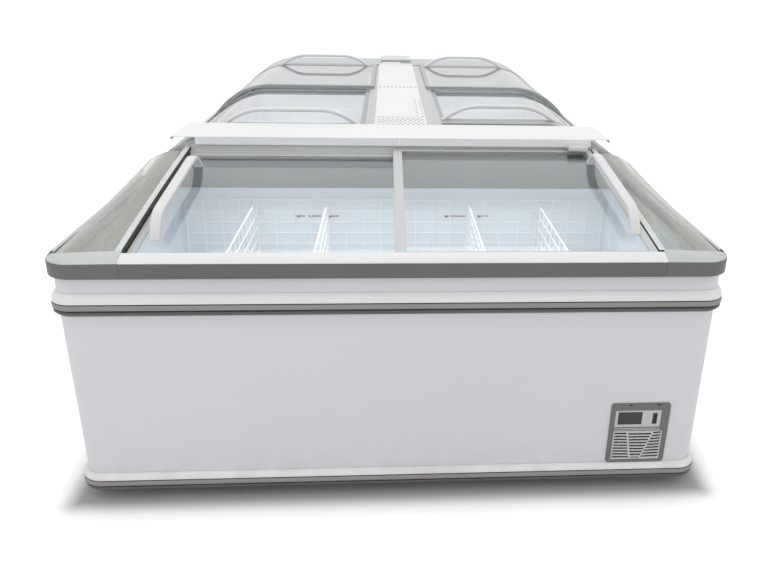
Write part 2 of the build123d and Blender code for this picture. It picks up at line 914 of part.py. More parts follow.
def crown_edges(x_in, r_out, r_in, end_angle):
    """XZ outline between two radii of the crown: flat from x_in to the bend, then down to an angle."""
    angle = radians(end_angle)

    def on_bend(radius, turn):
        return (crown_bend_x + radius * sin(turn), bend_z + radius * cos(turn))

    return [
        Line((x_in, bend_z + r_in), (x_in, bend_z + r_out)),
        Line((x_in, bend_z + r_out), (crown_bend_x, bend_z + r_out)),
        ThreePointArc(on_bend(r_out, 0), on_bend(r_out, angle / 2), on_bend(r_out, angle)),
        Line(on_bend(r_out, angle), on_bend(r_in, angle)),
        ThreePointArc(on_bend(r_in, angle), on_bend(r_in, angle / 2), on_bend(r_in, 0)),
        Line((crown_bend_x, bend_z + r_in), (x_in, bend_z + r_in)),
    ]


def end_angle(r_in):
    """Angle at which the crown's inner radius comes down to its seat on the outer rail."""
    return degrees(acos((long_rail_top + seat - bend_z) / r_in))


def make_long_lid(x_in, y, r_out, handle_at_near_end):
    """Frame and curved pane of one lid that slides along Y; the stile that carries the handle is broad."""
    r_in = r_out - upper_lid_thickness
    angle = end_angle(r_in)
    window_angle = angle - degrees(outer_stile / r_out)
    pane_angle = angle - degrees((outer_stile + fit_gap) / r_out)
    frame = along_y(crown_edges(x_in, r_out, r_in, angle), *y)
    near_stile, far_stile = meeting_stile, handle_stile
    if handle_at_near_end:
        near_stile, far_stile = handle_stile, meeting_stile
    window_y = (y[0] + near_stile, y[1] - far_stile)
    window = along_y(crown_edges(x_in + inner_stile, r_out + 2, r_in - 2, window_angle), *window_y)
    pane_top = r_out - glass_drop
    pane_edges = crown_edges(
        x_in + inner_stile + fit_gap, pane_top, pane_top - glass_thickness, pane_angle
    )
    pane = along_y(pane_edges, window_y[0] + fit_gap, window_y[1] - fit_gap)
    return frame - window, pane


def make_long_handle(ends, y, r_out):
    """Handle across the flat of a long lid, on its broad stile."""
    z = bend_z + r_out + seat
    return Pos((ends[0] + ends[1]) / 2, y, z) * bow_handle(ends[1] - ends[0])


def make_long_lids():
    near_y = (near_head_end + joint_gap, lid_meeting_y + lid_lap / 2)
    far_y = (lid_meeting_y - lid_lap / 2, far_head_start - joint_gap)
    near_handle_y = near_y[0] + long_handle_inset
    far_handle_y = far_y[1] - long_handle_inset
    sides = {
        "left": (left_lid_inner, left_long_handle, 0),
        "right": (right_lid_inner, right_long_handle, right_near_lid_shift),
    }
    for side, (inner, handle, shift) in sides.items():
        near = make_long_lid(inner + upper_ledge, near_y, lower_radius, True)
        far = make_long_lid(inner, far_y, crown_bend_radius, False)
        pieces = {
            f"{side}_near_lid_frame": Pos(0, shift, 0) * near[0],
            f"{side}_near_lid_glass": Pos(0, shift, 0) * near[1],
            f"{side}_near_lid_handle": make_long_handle(handle, near_handle_y + shift, lower_radius),
            f"{side}_far_lid_frame": far[0],
            f"{side}_far_lid_glass": far[1],
            f"{side}_far_lid_handle": make_long_handle(handle, far_handle_y, crown_bend_radius),
        }
        for name, piece in pieces.items():
            save(name, mirrored(piece) if side == "left" else piece)


def make_inner_rail(lid_inner):
    """Hollow rail along the inner side, stepped for the two lids and flat where the strip lies."""
    upper_z = crown_height - upper_lid_thickness - seat
    lower_z = bend_z + lower_radius - upper_lid_thickness - seat
    top_z = strip_top - strip_sheet
    x_step = lid_inner + upper_ledge - 1
    x_end = x_step + lower_ledge
    section = outline(
        (long_inner, rail_bottom),
        (long_inner, top_z),
        (lid_inner - 1, top_z),
        (lid_inner - 1, upper_z),
        (x_step, upper_z),
        (x_step, lower_z),
        (x_end, lower_z),
        (x_end, rail_bottom + 60),
        (long_liner_inner - liner_wall - 1, rail_bottom + 40),
        (long_liner_inner - liner_wall - 1, rail_bottom),
    )
    chamber = outline(
        (long_inner + 5, rail_bottom + 8),
        (long_inner + 5, lower_z - 6),
        (x_end - 6, lower_z - 6),
        (x_end - 6, rail_bottom + 66),
        (long_liner_inner - liner_wall - 8, rail_bottom + 44),
        (long_liner_inner - liner_wall - 8, rail_bottom + 8),
    )
    y = (near_head_end, far_head_start)
    return along_y(section, *y) - along_y(chamber, y[0] - 1, y[1] + 1)


def head_outline(radius, inset, z_low):
    """XZ outline of a long cabinet's end housing, set in from its sides."""
    turn = radians(end_angle(radius))
    x_in = long_inner + inset
    x_rail = long_rail_inner - 1 - inset
    z_tip = bend_z + radius * cos(turn)
    tip = (crown_bend_x + radius * sin(turn), z_tip)
    middle = (crown_bend_x + radius * sin(turn / 2), bend_z + radius * cos(turn / 2))
    top = (crown_bend_x, bend_z + radius)
    return [
        Line((x_in, z_low), (x_in, top[1])),
        Line((x_in, top[1]), top),
        ThreePointArc(top, middle, tip),
        Line(tip, (x_rail, z_tip)),
        Line((x_rail, z_tip), (x_rail, z_low)),
        Line((x_rail, z_low), (x_in, z_low)),
    ]


def strip_pocket(strip_edge, y_low, y_high):
    """Room in a head's top for the perforated strip."""
    return block((0, strip_edge + fit_gap), (y_low, y_high), (strip_top - strip_sheet - seat, crown_height + 10))


def make_near_head(strip_edge):
    """Arched housing over the near machine room, under the cover, with a vent in its inner side."""
    radius = cover_top - cover_sheet - seat - bend_z
    y = (end_depth + joint_gap, near_head_end - joint_gap)
    body = along_y(head_outline(radius, 0, rail_bottom), *y)
    hollow = along_y(
        head_outline(radius - head_shell, head_shell, rail_bottom - 1), y[0] + head_shell, y[1] - head_shell
    )
    vent = block((0, long_inner + 2 * head_shell), (y[0] + 30, y[1] - 30), (rail_top, crown_height - 60))
    return body - hollow - vent - strip_pocket(strip_edge, cover_rear, near_head_end)


def make_far_head(strip_edge):
    """Closed arched end of the long cabinet, with a rounded far edge."""
    radius = crown_bend_radius - 1
    y = (far_head_start + joint_gap, casing_far)
    body = along_y(head_outline(radius, 0, rail_bottom), *y)
    far_edges = body.edges().filter_by_position(Axis.Y, y[1] - 0.1, y[1] + 0.1)
    top_edges = far_edges.filter_by(lambda e: e.center().Z > rail_top + rounded_edge_rise and e.length > rounded_edge_length)
    body = fillet(top_edges, far_head_round)
    hollow = along_y(
        head_outline(radius - head_shell, head_shell, rail_bottom - 1),
        y[0] + head_shell,
        y[1] - far_head_round - head_shell,
    )
    return body - hollow - strip_pocket(strip_edge, far_head_start, strip_end_cap_start - seat)


# Cover and perforated strip

def make_cover_half(x_low, x_high, lip_low, lip_high):
    """Folded sheet: a flat top, a deep front lip over the lids' rear edges and short end folds."""
    top = block((x_low, x_high), (cover_front, cover_rear), (cover_top - cover_sheet, cover_top))
    lip_y = (cover_front, cover_front + cover_sheet)
    lip = block((lip_low, lip_high), lip_y, (cover_top - cover_lip_height, cover_top))
    return top + lip


def make_cover():
    left = make_cover_half(
        -cover_half_length, cover_seam_x - joint_gap, top_offset - cover_lip_half, cover_seam_x - joint_gap
    )
    right = make_cover_half(
        cover_seam_x + joint_gap, cover_half_length, cover_seam_x + joint_gap, top_offset + cover_lip_half
    )
    left += block(
        (-cover_half_length, -cover_half_length + cover_sheet),
        (cover_front, cover_rear),
        (cover_top - cover_fold, cover_top),
    )
    right += block(
        (cover_half_length - cover_sheet, cover_half_length),
        (cover_front, cover_rear),
        (cover_top - cover_fold, cover_top),
    )
    return group(left, right)


def hexagon_holes(places):
    """Perforations: hexagonal prisms through the strip at the given places."""
    hexagon = RegularPolygon(perforation_across / 2, 6, major_radius=False)
    depth = 3 * strip_sheet
    sketches = [Pos(x, y, strip_top - 2 * strip_sheet) * hexagon for x, y in places]
    return [extrude(s, amount=depth) for s in sketches]


def perforation_places(y_start, rows):
    """Staggered rows across the strip."""
    half_count = int((strip_right - strip_left - 20) / perforation_pitch / 2)
    middle = (strip_left + strip_right) / 2
    places = []
    for row in range(rows):
        shift = perforation_pitch / 2 * (row % 2)
        y = y_start + row * perforation_pitch * 0.6
        columns = range(-half_count, half_count + 1 - row % 2)
        places += [(middle + shift + column * perforation_pitch, y) for column in columns]
    return places


def make_strip_panel(y_low, y_high, hole_places):
    """One panel of the middle strip: folded edges and perforations."""
    top = block((strip_left, strip_right), (y_low, y_high), (strip_top - strip_sheet, strip_top))
    return top - hexagon_holes(hole_places)


def make_perforated_strips():
    near_y = (cover_rear + joint_gap, lid_meeting_y - joint_gap)
    far_y = (lid_meeting_y + joint_gap, strip_end_cap_start - 2 * joint_gap)
    near_holes = perforation_places(near_y[0] + 14, perforation_rows)
    near_holes += perforation_places(near_y[1] - 12, 1)
    near = make_strip_panel(*near_y, near_holes)
    far = make_strip_panel(*far_y, perforation_places(far_y[0] + 12, 1))
    return group(near, far)


def make_strip_end_cap():
    """Raised cap that closes the strip at the far end, between the two far heads."""
    body = block(
        (strip_left + 12, strip_right - 10),
        (strip_end_cap_start, casing_far),
        (crown_height - 1 + seat, crown_height + strip_end_cap_height),
    )
    top = body.edges().group_by(Axis.Z)[-1]
    return fillet(top, 8)


# Wire grids

def grid_panel(length, height, bays, rows):
    """A flat grid in the XZ plane: one face with a hole for each bay, extruded to the wire's thickness."""
    pitch_x = (length - grid_wire) / bays
    pitch_z = (height - grid_wire) / rows
    hole = Rectangle(pitch_x - grid_wire, pitch_z - grid_wire)
    holes = [
        Pos(
            -length / 2 + grid_wire / 2 + pitch_x * (i + 0.5),
            -height / 2 + grid_wire / 2 + pitch_z * (j + 0.5),
        ) * hole
        for i in range(bays)
        for j in range(rows)
    ]
    face = Rectangle(length, height) - holes
    plane = Plane(origin=(0, grid_wire / 2, 0), x_dir=(1, 0, 0), z_dir=(0, -1, 0))
    return extrude(plane * face, amount=grid_wire)


def make_end_grids():
    """Front and rear grids, each held off the liner's wall by four short hooks."""
    z = (grid_bottom + grid_top) / 2
    panel = grid_panel(2 * grid_half_length, grid_top - grid_bottom, grid_bays, grid_rows)
    hook_z = (grid_top - grid_wire, grid_top)
    grids = []
    for y, wall_y in ((front_grid_y, liner_front + seat), (rear_grid_y, liner_rear - seat)):
        grid = Pos(basket_offset, y, z) * panel
        for share in (-0.9, -0.3, 0.3, 0.9):
            x = basket_offset + share * grid_half_length
            grid += block((x - grid_wire / 2, x + grid_wire / 2), sorted((y, wall_y)), hook_z)
        grids.append(grid)
    return group(*grids)


def make_end_dividers():
    y_low = front_grid_y + grid_wire / 2 + seat
    y_high = rear_grid_y - grid_wire / 2 - seat
    panel = Rot(0, 0, 90) * grid_panel(y_high - y_low, divider_top - divider_bottom, divider_bays, 3)
    first = -(divider_count - 1) / 2
    z = (divider_bottom + divider_top) / 2
    places = [basket_offset + (first + i) * divider_pitch for i in range(divider_count)]
    return group(*[Pos(x, (y_low + y_high) / 2, z) * panel for x in places])


def make_long_dividers():
    x_low = long_liner_inner + seat
    x_high = long_liner_outer - seat
    panel = grid_panel(x_high - x_low, divider_top - divider_bottom, divider_bays, 3)
    pitch = (long_liner_far - long_liner_near) / (long_divider_count + 1)
    z = (divider_bottom + divider_top) / 2
    panels = [
        Pos((x_low + x_high) / 2, long_liner_near + pitch * (i + 1), z) * panel
        for i in range(long_divider_count)
    ]
    return group(*panels, *[mirrored(p) for p in panels])


# Control and ventilation panel

def make_bezel():
    """Raised frame round the display and the grille, with a bar between the two windows."""
    y_face = casing_front - bezel_proud
    plan = Rectangle(bezel_right - bezel_left, bezel_top - bezel_bottom)
    plan = fillet(plan.vertices(), bezel_corner)
    plane = Plane(
        origin=((bezel_left + bezel_right) / 2, casing_front - fit_gap, (bezel_bottom + bezel_top) / 2),
        x_dir=(1, 0, 0),
        z_dir=(0, -1, 0),
    )
    plate = extrude(plane * plan, amount=bezel_proud - fit_gap)
    upper = block((fascia_left, fascia_right), (y_face - 1, casing_front), (fascia_bottom, fascia_top))
    lower = block(
        (bezel_left + bezel_flange, bezel_right - bezel_flange),
        (y_face - 1, casing_front),
        (louvre_bottom, louvre_top),
    )
    return plate - upper - lower


def switch_centre():
    return (switch_x, casing_front + switch_pivot_depth, (fascia_bottom + fascia_top) / 2)


def make_fascia():
    """Silver plate with openings for the display and the switch, and two cheeks that carry the switch."""
    y = (casing_front - 2.5, casing_front - 0.5)
    across = (fascia_left + fit_gap, fascia_right - fit_gap)
    plate = block(across, y, (fascia_bottom + fit_gap, fascia_top - fit_gap))
    plate -= block((display_left, display_right), (y[0] - 1, y[1] + 1), (display_bottom, display_top))
    x, pivot_y, z = switch_centre()
    half = switch_width / 2 + switch_gap
    tall = switch_height / 2 + 1.5
    plate -= block((x - half, x + half), (y[0] - 1, y[1] + 1), (z - tall, z + tall))
    for x_cheek in (x - half - switch_cheek, x + half):
        plate += block((x_cheek, x_cheek + switch_cheek), (y[0], pivot_y + 5), (z - 8, z + 8))
    hole = Pos(x, pivot_y, z) * Rot(0, 90, 0) * Cylinder(switch_pin + switch_pin_gap, 4 * half)
    return plate - hole


def make_display():
    """Dark window of the temperature display with its housing behind the fascia."""
    window = block(
        (display_left + fit_gap, display_right - fit_gap),
        (casing_front - 2, casing_front - 0.5 + seat),
        (display_bottom + fit_gap, display_top - fit_gap),
    )
    housing = block(
        (display_left - 3, display_right + 3),
        (casing_front - 0.5 + seat, casing_front + 30),
        (display_bottom - 3, display_top + 3),
    )
    return window + housing


def make_switch():
    """Rocker: a shallow V front on a pivot pin that reaches into the cheeks."""
    x, y, z = switch_centre()
    half = switch_height / 2
    body = outline(
        (y - 9, z + half - 0.5),
        (y - 6.5, z),
        (y - 10.5, z - half + 0.5),
        (y - 1, z - half + 2),
        (y - 1, z + half - 2),
    )
    rocker = along_x(body, x - switch_width / 2, x + switch_width / 2)
    pin = Pos(x, y, z) * Rot(0, 90, 0) * Cylinder(switch_pin, switch_width + 2 * switch_gap + switch_cheek)
    return rocker + pin


def make_louvre():
    """Grille in three facets: each has its own run of slots, and the middle one is a wedge that tapers down."""
    x = (bezel_left + bezel_flange + fit_gap, bezel_right - bezel_flange - fit_gap)
    y = (casing_front - 3, casing_front - 0.5)
    plate = block(x, y, (louvre_bottom + fit_gap, louvre_top - fit_gap))
    z_top = louvre_top - 6
    left_top, left_low = x[0] + 42, x[0] + 60
    right_top, right_low = x[1] - 28, x[1] - 62

    def dividing_x(z, top_x, low_x):
        share = (louvre_top - z) / (louvre_top - louvre_bottom)
        return top_x + (low_x - top_x) * share

    slots = []
    for row in range(slat_count):
        z = z_top - row * slat_pitch
        low = z - slat_gap
        left_edge = (x[0] + 4, dividing_x(z, left_top, left_low) - 3)
        right_edge = (dividing_x(z, right_top, right_low) + 3, x[1] - 4)
        middle = (left_edge[1] + 6, right_edge[0] - 6)
        slots.append(slot(left_edge, low, z, -1))
        slots.append(slot(right_edge, low, z, 2))
        slots.append(slot(middle, low - slat_pitch / 2 + 2, z - slat_pitch / 2 + 2, 0))
    plate -= slots
    return plate


def slot(x, z_low, z_high, climb):
    """One slot through the grille; its right end stands higher by climb."""
    edges = outline((x[0], z_low), (x[1], z_low + climb), (x[1], z_high + climb), (x[0], z_high))
    return along_y(edges, casing_front - 10, casing_front + 10)


# Condensing units

def make_compressor(x, y, z):
    """Sealed compressor: a domed pot on a base plate with four rubber feet and a service stub."""
    r = compressor_radius
    h = compressor_height
    pot = Pos(0, 0, 17 + h / 2) * Cylinder(r, h)
    pot = fillet(pot.edges().group_by(Axis.Z)[-1], r * 0.6)
    pot = fillet(pot.edges().group_by(Axis.Z)[0], r * 0.25)
    pot += Pos(0, 0, 14) * Box(2 * r + 30, 2 * r, 6)
    for sx in (-1, 1):
        for sy in (-1, 1):
            pot += Pos(sx * (r + 4), sy * (r - 14), 5.5) * Cylinder(9, 11)
    stub = Pos(r + 4, 0, h / 2 + 17) * Rot(0, 90, 0) * Cylinder(5, 26)
    return Pos(x, y, z) * (pot + stub)


def make_condenser():
    """Finned block in its own frame: plates across X joined by tubes and two end plates, air flows along Y."""
    pitch = (condenser_width - fin_thickness) / (fin_count - 1)
    fins = [
        Pos(-condenser_width / 2 + fin_thickness / 2 + pitch * i, 0, condenser_height / 2)
        * Box(fin_thickness, condenser_depth, condenser_height)
        for i in range(fin_count)
    ]
    block_of_fins = fins[0]
    for fin in fins[1:]:
        block_of_fins += fin
    for row in range(4):
        z = condenser_height * (row + 0.5) / 4
        block_of_fins += Pos(0, 0, z) * Rot(0, 90, 0) * Cylinder(6, condenser_width - 1)
    return block_of_fins


def make_fan():
    """Axial fan in its own frame: a bored hub with twisted blades, axis along Y."""
    hub = Cylinder(fan_hub_radius, fan_depth)
    blades = []
    for i in range(fan_blades):
        root = Rectangle(30, 2)
        tip = Rectangle(52, 2)
        reach = fan_radius - 2
        root_plane = Plane(origin=(fan_hub_radius - 5, 0, 0), x_dir=(0, 1, 0), z_dir=(1, 0, 0))
        tip_plane = Plane(origin=(reach, 0, 0), x_dir=(0, 1, 0), z_dir=(1, 0, 0))
        inner = root_plane * (Rot(0, 0, 26) * root)
        outer = tip_plane * (Rot(0, 0, 14) * tip)
        blades.append(Rot(0, 0, 360 / fan_blades * i) * loft([inner, outer], ruled=True))
    wheel = hub
    for blade in blades:
        wheel += blade
    bore = fan_shaft_radius + fan_shaft_clearance
    wheel -= Pos(0, 0, fan_depth - fan_bore_depth) * Cylinder(bore, fan_depth)
    return Rot(-90, 0, 0) * wheel


def make_motor():
    """Fan motor in its own frame, axis along Y: can, shaft towards -Y and a bracket plate."""
    can = Rot(-90, 0, 0) * Cylinder(motor_radius, motor_length)
    shaft_length = fan_gap + fan_bore_depth - seat
    shaft = Pos(0, -motor_length / 2 - shaft_length / 2, 0) * Rot(-90, 0, 0) * Cylinder(fan_shaft_radius, shaft_length)
    return can + shaft


def unit_solids(origin, turn, floor):
    """Places one condensing unit: its condenser, fan, motor and bracket, and compressor, air flowing along +Y."""
    x, y = origin
    place = Pos(x, y, floor) * Rot(0, 0, turn)
    axis_z = condenser_height / 2 + 10
    condenser = place * Pos(0, 0, 0) * make_condenser()
    fan_y = condenser_depth / 2 + 24
    fan = place * Pos(0, fan_y, axis_z) * make_fan()
    motor_y = fan_y + fan_depth / 2 + fan_gap + motor_length / 2
    bracket = Pos(0, motor_y + motor_length / 2 + 3, (axis_z + motor_radius) / 2) * Box(
        60, 6, axis_z + motor_radius
    )
    motor = place * (Pos(0, motor_y, axis_z) * make_motor() + bracket)
    return condenser, fan, motor


def make_units():
    floor = casing_bottom + sheet + seat
    end_x = (room_left + room_right) / 2
    end_parts = unit_solids((end_x, room_front + 60), 0, floor)
    end_compressor = make_compressor(end_x, end_compressor_y, floor)
    long_y = (end_depth + near_head_end - room_inset) / 2
    long_parts = unit_solids((long_condenser_x, long_y), 90, floor)
    long_compressor = make_compressor(long_compressor_x, long_y, floor)
    save("compressors", group(end_compressor, long_compressor, mirrored(long_compressor)))
    save("condensers", group(end_parts[0], long_parts[0], mirrored(long_parts[0])))
    save("fan_motors", group(end_parts[2], long_parts[2], mirrored(long_parts[2])))
    save("end_fan", end_parts[1])
    save("right_fan", long_parts[1])
    save("left_fan", mirrored(long_parts[1]))


def coil_loop(x, y, z):
    """One loop of evaporator tube round a liner at a height."""
    path = FilletPolyline(
        (x[0], (y[0] + y[1]) / 2, z),
        (x[0], y[0], z),
        (x[1], y[0], z),
        (x[1], y[1], z),
        (x[0], y[1], z),
        (x[0], (y[0] + y[1]) / 2 + 4 * coil_tube, z),
        radius=liner_corner + liner_wall + seat + coil_tube,
    )
    start = Plane(origin=path @ 0, z_dir=path % 0)
    return sweep(start * RegularPolygon(coil_tube, 8), path=path)


def make_coils():
    reach = liner_wall + seat + coil_tube
    x = (basket_offset - liner_half_width - reach, basket_offset + liner_half_width + reach)
    y = (liner_front - reach, liner_rear + reach)
    first = rail_bottom - coil_drop - (coil_loops - 1) * coil_pitch
    return group(*[coil_loop(x, y, first + i * coil_pitch) for i in range(coil_loops)])


def make_feet():
    """Levelling feet: a round pad under a threaded stem, four to each cabinet."""
    pad = Pos(0, 0, foot_pad_height / 2) * Cylinder(foot_radius, foot_pad_height)
    stem_height = casing_bottom - seat - foot_pad_height
    stem = Pos(0, 0, foot_pad_height + stem_height / 2) * Cylinder(foot_stem_radius, stem_height)
    foot = pad + stem
    places = [(sx * (casing_half - foot_inset), y) for sx in (-1, 1) for y in (foot_inset, end_depth - foot_inset)]
    for y in (end_depth + foot_inset, casing_far - foot_inset):
        for x in (long_inner + foot_inset, casing_half - foot_inset):
            places += [(x, y), (-x, y)]
    return group(*[Pos(x, y, 0) * foot for x, y in places])


def build():
    save("end_casing", make_end_casing())
    save("end_insulation", make_end_insulation())
    save("end_liner", make_end_liner())
    make_bumpers()
    save("front_rail", make_front_rail())
    save("front_track_strip", make_front_strip())
    save("right_corner_moulding", make_corner_moulding(top_offset + strip_half_length))
    save("left_corner_moulding", mirrored(make_corner_moulding(strip_half_length - top_offset)))
    save("side_frames", group(make_side_frame(-1), make_side_frame(1)))
    save("side_glasses", group(make_side_glass(-1), make_side_glass(1)))
    save("rear_track_header", make_header())
    save("side_seals", group(make_side_seal(-1, -1), make_side_seal(1, lid_stack - 1)))
    save("side_rails", make_side_rails())
    save("lid_lock", make_lid_lock())
    make_end_lids()
    save("end_wire_grids", make_end_grids())
    save("end_wire_dividers", make_end_dividers())
    save("long_wire_dividers", make_long_dividers())
    save("control_bezel", make_bezel())
    save("control_fascia", make_fascia())
    save("display_window", make_display())
    save("rocker_switch", make_switch())
    save("louvre_grille", make_louvre())
    save("levelling_feet", make_feet())
    make_units()
    save("evaporator_coils", make_coils())
    save("head_cover", make_cover())
    save("perforated_strips", make_perforated_strips())
    save("strip_end_cap", make_strip_end_cap())
    casing = make_long_casing()
    save("right_long_casing", casing)
    save("left_long_casing", mirrored(casing))
    liner = make_long_liner()
    save("right_long_liner", liner)
    save("left_long_liner", mirrored(liner))
    save("long_inner_rails", group(make_inner_rail(right_lid_inner), mirrored(make_inner_rail(left_lid_inner))))
    right_heads = [make_near_head(strip_right), make_far_head(strip_right)]
    left_heads = [mirrored(make_near_head(-strip_left)), mirrored(make_far_head(-strip_left))]
    save("long_end_frames", group(*right_heads, *left_heads))
    make_long_lids()


build()
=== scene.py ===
import json
import math

import bpy
import bmesh
from mathutils import Matrix, Vector


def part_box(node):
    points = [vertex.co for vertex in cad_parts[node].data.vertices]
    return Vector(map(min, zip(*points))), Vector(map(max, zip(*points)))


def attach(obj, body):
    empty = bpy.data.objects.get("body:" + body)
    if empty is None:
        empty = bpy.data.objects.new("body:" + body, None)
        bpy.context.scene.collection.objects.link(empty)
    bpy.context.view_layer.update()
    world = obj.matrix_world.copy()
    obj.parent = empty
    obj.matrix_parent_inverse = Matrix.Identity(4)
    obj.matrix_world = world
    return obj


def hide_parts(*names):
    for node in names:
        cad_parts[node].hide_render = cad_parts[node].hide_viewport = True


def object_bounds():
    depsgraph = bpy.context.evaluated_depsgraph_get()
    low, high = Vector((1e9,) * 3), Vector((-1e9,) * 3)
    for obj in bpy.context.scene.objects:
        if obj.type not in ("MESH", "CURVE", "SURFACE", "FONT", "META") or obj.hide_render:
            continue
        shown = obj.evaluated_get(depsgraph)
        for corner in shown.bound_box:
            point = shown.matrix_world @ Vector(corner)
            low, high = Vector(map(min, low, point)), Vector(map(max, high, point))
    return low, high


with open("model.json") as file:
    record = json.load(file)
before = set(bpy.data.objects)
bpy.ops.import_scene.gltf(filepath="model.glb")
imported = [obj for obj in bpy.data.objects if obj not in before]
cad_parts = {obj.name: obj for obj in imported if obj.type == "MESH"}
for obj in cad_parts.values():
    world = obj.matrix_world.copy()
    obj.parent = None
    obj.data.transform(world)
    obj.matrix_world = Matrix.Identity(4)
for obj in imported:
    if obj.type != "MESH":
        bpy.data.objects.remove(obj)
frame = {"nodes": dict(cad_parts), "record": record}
cad_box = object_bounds()
scene = bpy.context.scene


# Node helpers

class Nodes:
    """A material's node tree, with short calls for adding and linking nodes."""

    def __init__(self, name):
        self.material = bpy.data.materials.new(name)
        self.material.use_nodes = True
        self.tree = self.material.node_tree
        self.tree.nodes.clear()
        self.output = self.tree.nodes.new("ShaderNodeOutputMaterial")
        self.place = self.tree.nodes.new("ShaderNodeTexCoord").outputs["Object"]

    def add(self, kind, inputs=None, **settings):
        node = self.tree.nodes.new("ShaderNode" + kind)
        for key, value in settings.items():
            setattr(node, key, value)
        for key, value in (inputs or {}).items():
            self.feed(node.inputs[key], value)
        return node

    def feed(self, socket, value):
        if isinstance(value, bpy.types.NodeSocket):
            self.tree.links.new(value, socket)
        else:
            socket.default_value = value

    def math(self, operation, a, b=0.0):
        node = self.add("Math", operation=operation)
        self.feed(node.inputs[0], a)
        self.feed(node.inputs[1], b)
        return node.outputs[0]

    def ramp(self, value, low, high):
        """0 below low and 1 above high, smooth between."""
        node = self.add("MapRange", interpolation_type="SMOOTHSTEP")
        self.feed(node.inputs["Value"], value)
        node.inputs["From Min"].default_value = low
        node.inputs["From Max"].default_value = high
        return node.outputs["Result"]

    def noise(self, scale, detail=2.0, stretch=(1, 1, 1)):
        place = self.add("Mapping", {"Vector": self.place, "Scale": stretch}).outputs[0]
        node = self.add("TexNoise", {"Vector": place, "Scale": scale, "Detail": detail})
        return node.outputs["Fac"]

    def mix(self, share, a, b):
        node = self.add("Mix", data_type="RGBA")
        self.feed(node.inputs["Factor"], share)
        self.feed(node.inputs["A"], a)
        self.feed(node.inputs["B"], b)
        return node.outputs["Result"]

    def height(self):
        return self.add("SeparateXYZ", {"Vector": self.place}).outputs["Z"]

    def upward(self):
        """How far a face looks up: 1 for a level top, 0 for a wall."""
        normal = self.add("NewGeometry").outputs["True Normal"]
        return self.add("SeparateXYZ", {"Vector": normal}).outputs["Z"]

    def finish(self, shader):
        self.tree.links.new(shader, self.output.inputs["Surface"])
        return self.material


def srgb(code):
    """A hex colour as the linear colour that Blender wants."""
    parts = [int(code[i:i + 2], 16) / 255 for i in (0, 2, 4)]
    return tuple(c / 12.92 if c <= 0.04045 else ((c + 0.055) / 1.055) ** 2.4 for c in parts) + (1,)


# Finishes

BLACK = (0, 0, 0, 1)
# How the painted top light fades in as a face turns to look up.
TOP_LIGHT_PAINTED_REACH = (0.45, 0.75)
BAND_BLUR = 0.0006
SLOW_SCALE = 2.3
SLOW_REACH = (0.3, 0.7)
FINE_REACH = (0.35, 0.65)
FINE_SHARE = 0.3
DUST_COLOUR = "8A8378"
DUST_SCALE = 18
DUST_REACH = (0.02, 0.2)
DUST_PATCHES = (0.35, 0.75)
ROUGHNESS_SPREAD = 0.1
EDGE_RADIUS = 0.0012
BUMP_DEPTH = 0.002
COAT_ROUGHNESS = 0.12


def solid_finish(name, code, rough, grain, bump, mottle, dust=0.0, stretch=(1, 1, 1), metal=0.0, coat=0.0,
                 top="", bands=()):
    """Paint, plastic or metal: slow mottling, fine grain in colour, roughness and bump, dust near the floor.

    top is painted light: a lighter colour on the faces that look up, as if lit from above; each band is a
    pair of heights and the colour between them.
    """
    n = Nodes(name)
    base = srgb(code)
    # Painted light: faces that look up take the lighter top colour, as if lit from above.
    if top:
        base = n.mix(n.ramp(n.upward(), *TOP_LIGHT_PAINTED_REACH), base, srgb(top))
    # Bands paint colour between heights: painted shade in grooves and lower lips, painted light on the
    # header's front band, and dark seams.
    for low, high, band_code in bands:
        above = n.ramp(n.height(), low - BAND_BLUR, low + BAND_BLUR)
        below = n.math("SUBTRACT", 1.0, n.ramp(n.height(), high - BAND_BLUR, high + BAND_BLUR))
        base = n.mix(n.math("MULTIPLY", above, below), base, srgb(band_code))
    slow = n.ramp(n.noise(SLOW_SCALE, 3), *SLOW_REACH)
    fine = n.ramp(n.noise(grain * 0.25, 3, stretch), *FINE_REACH)
    shade = n.math("SUBTRACT", 1.0, n.math("MULTIPLY", slow, mottle))
    shade = n.math("SUBTRACT", shade, n.math("MULTIPLY", fine, mottle * FINE_SHARE))
    colour = n.mix(shade, BLACK, base)
    if dust:
        low = n.math("SUBTRACT", 1.0, n.ramp(n.height(), *DUST_REACH))
        patches = n.math("MULTIPLY", n.ramp(n.noise(DUST_SCALE, 5), *DUST_PATCHES), low)
        colour = n.mix(n.math("MULTIPLY", patches, dust), colour, srgb(DUST_COLOUR))
    spread = n.math("MULTIPLY", n.noise(grain * 0.12, 4, stretch), ROUGHNESS_SPREAD)
    roughness = n.math("ADD", rough - ROUGHNESS_SPREAD / 2, spread)
    edge = n.add("Bevel", {"Radius": EDGE_RADIUS}, samples=3)
    height = n.noise(grain, 2, stretch)
    surface = n.add("Bump", {
        "Strength": bump, "Distance": BUMP_DEPTH, "Height": height, "Normal": edge.outputs[0],
    })
    shader = n.add("BsdfPrincipled", {
        "Base Color": colour, "Roughness": roughness, "Metallic": metal, "Normal": surface.outputs[0],
        "Coat Weight": coat, "Coat Roughness": COAT_ROUGHNESS,
    })
    return n.finish(shader.outputs[0])


GLASS_INDEX = 1.45
GLASS_ROUGH = 0.015
SMEAR_ROUGH = 0.03
SMEAR_SCALE = 9
SMEAR_STRETCH = (1, 3, 1)
SMEAR_REACH = (0.45, 0.8)
STREAK_SCALE = 16
STREAK_STRETCH = (1, 0.06, 1)
STREAK_REACH = (0.38, 0.62)


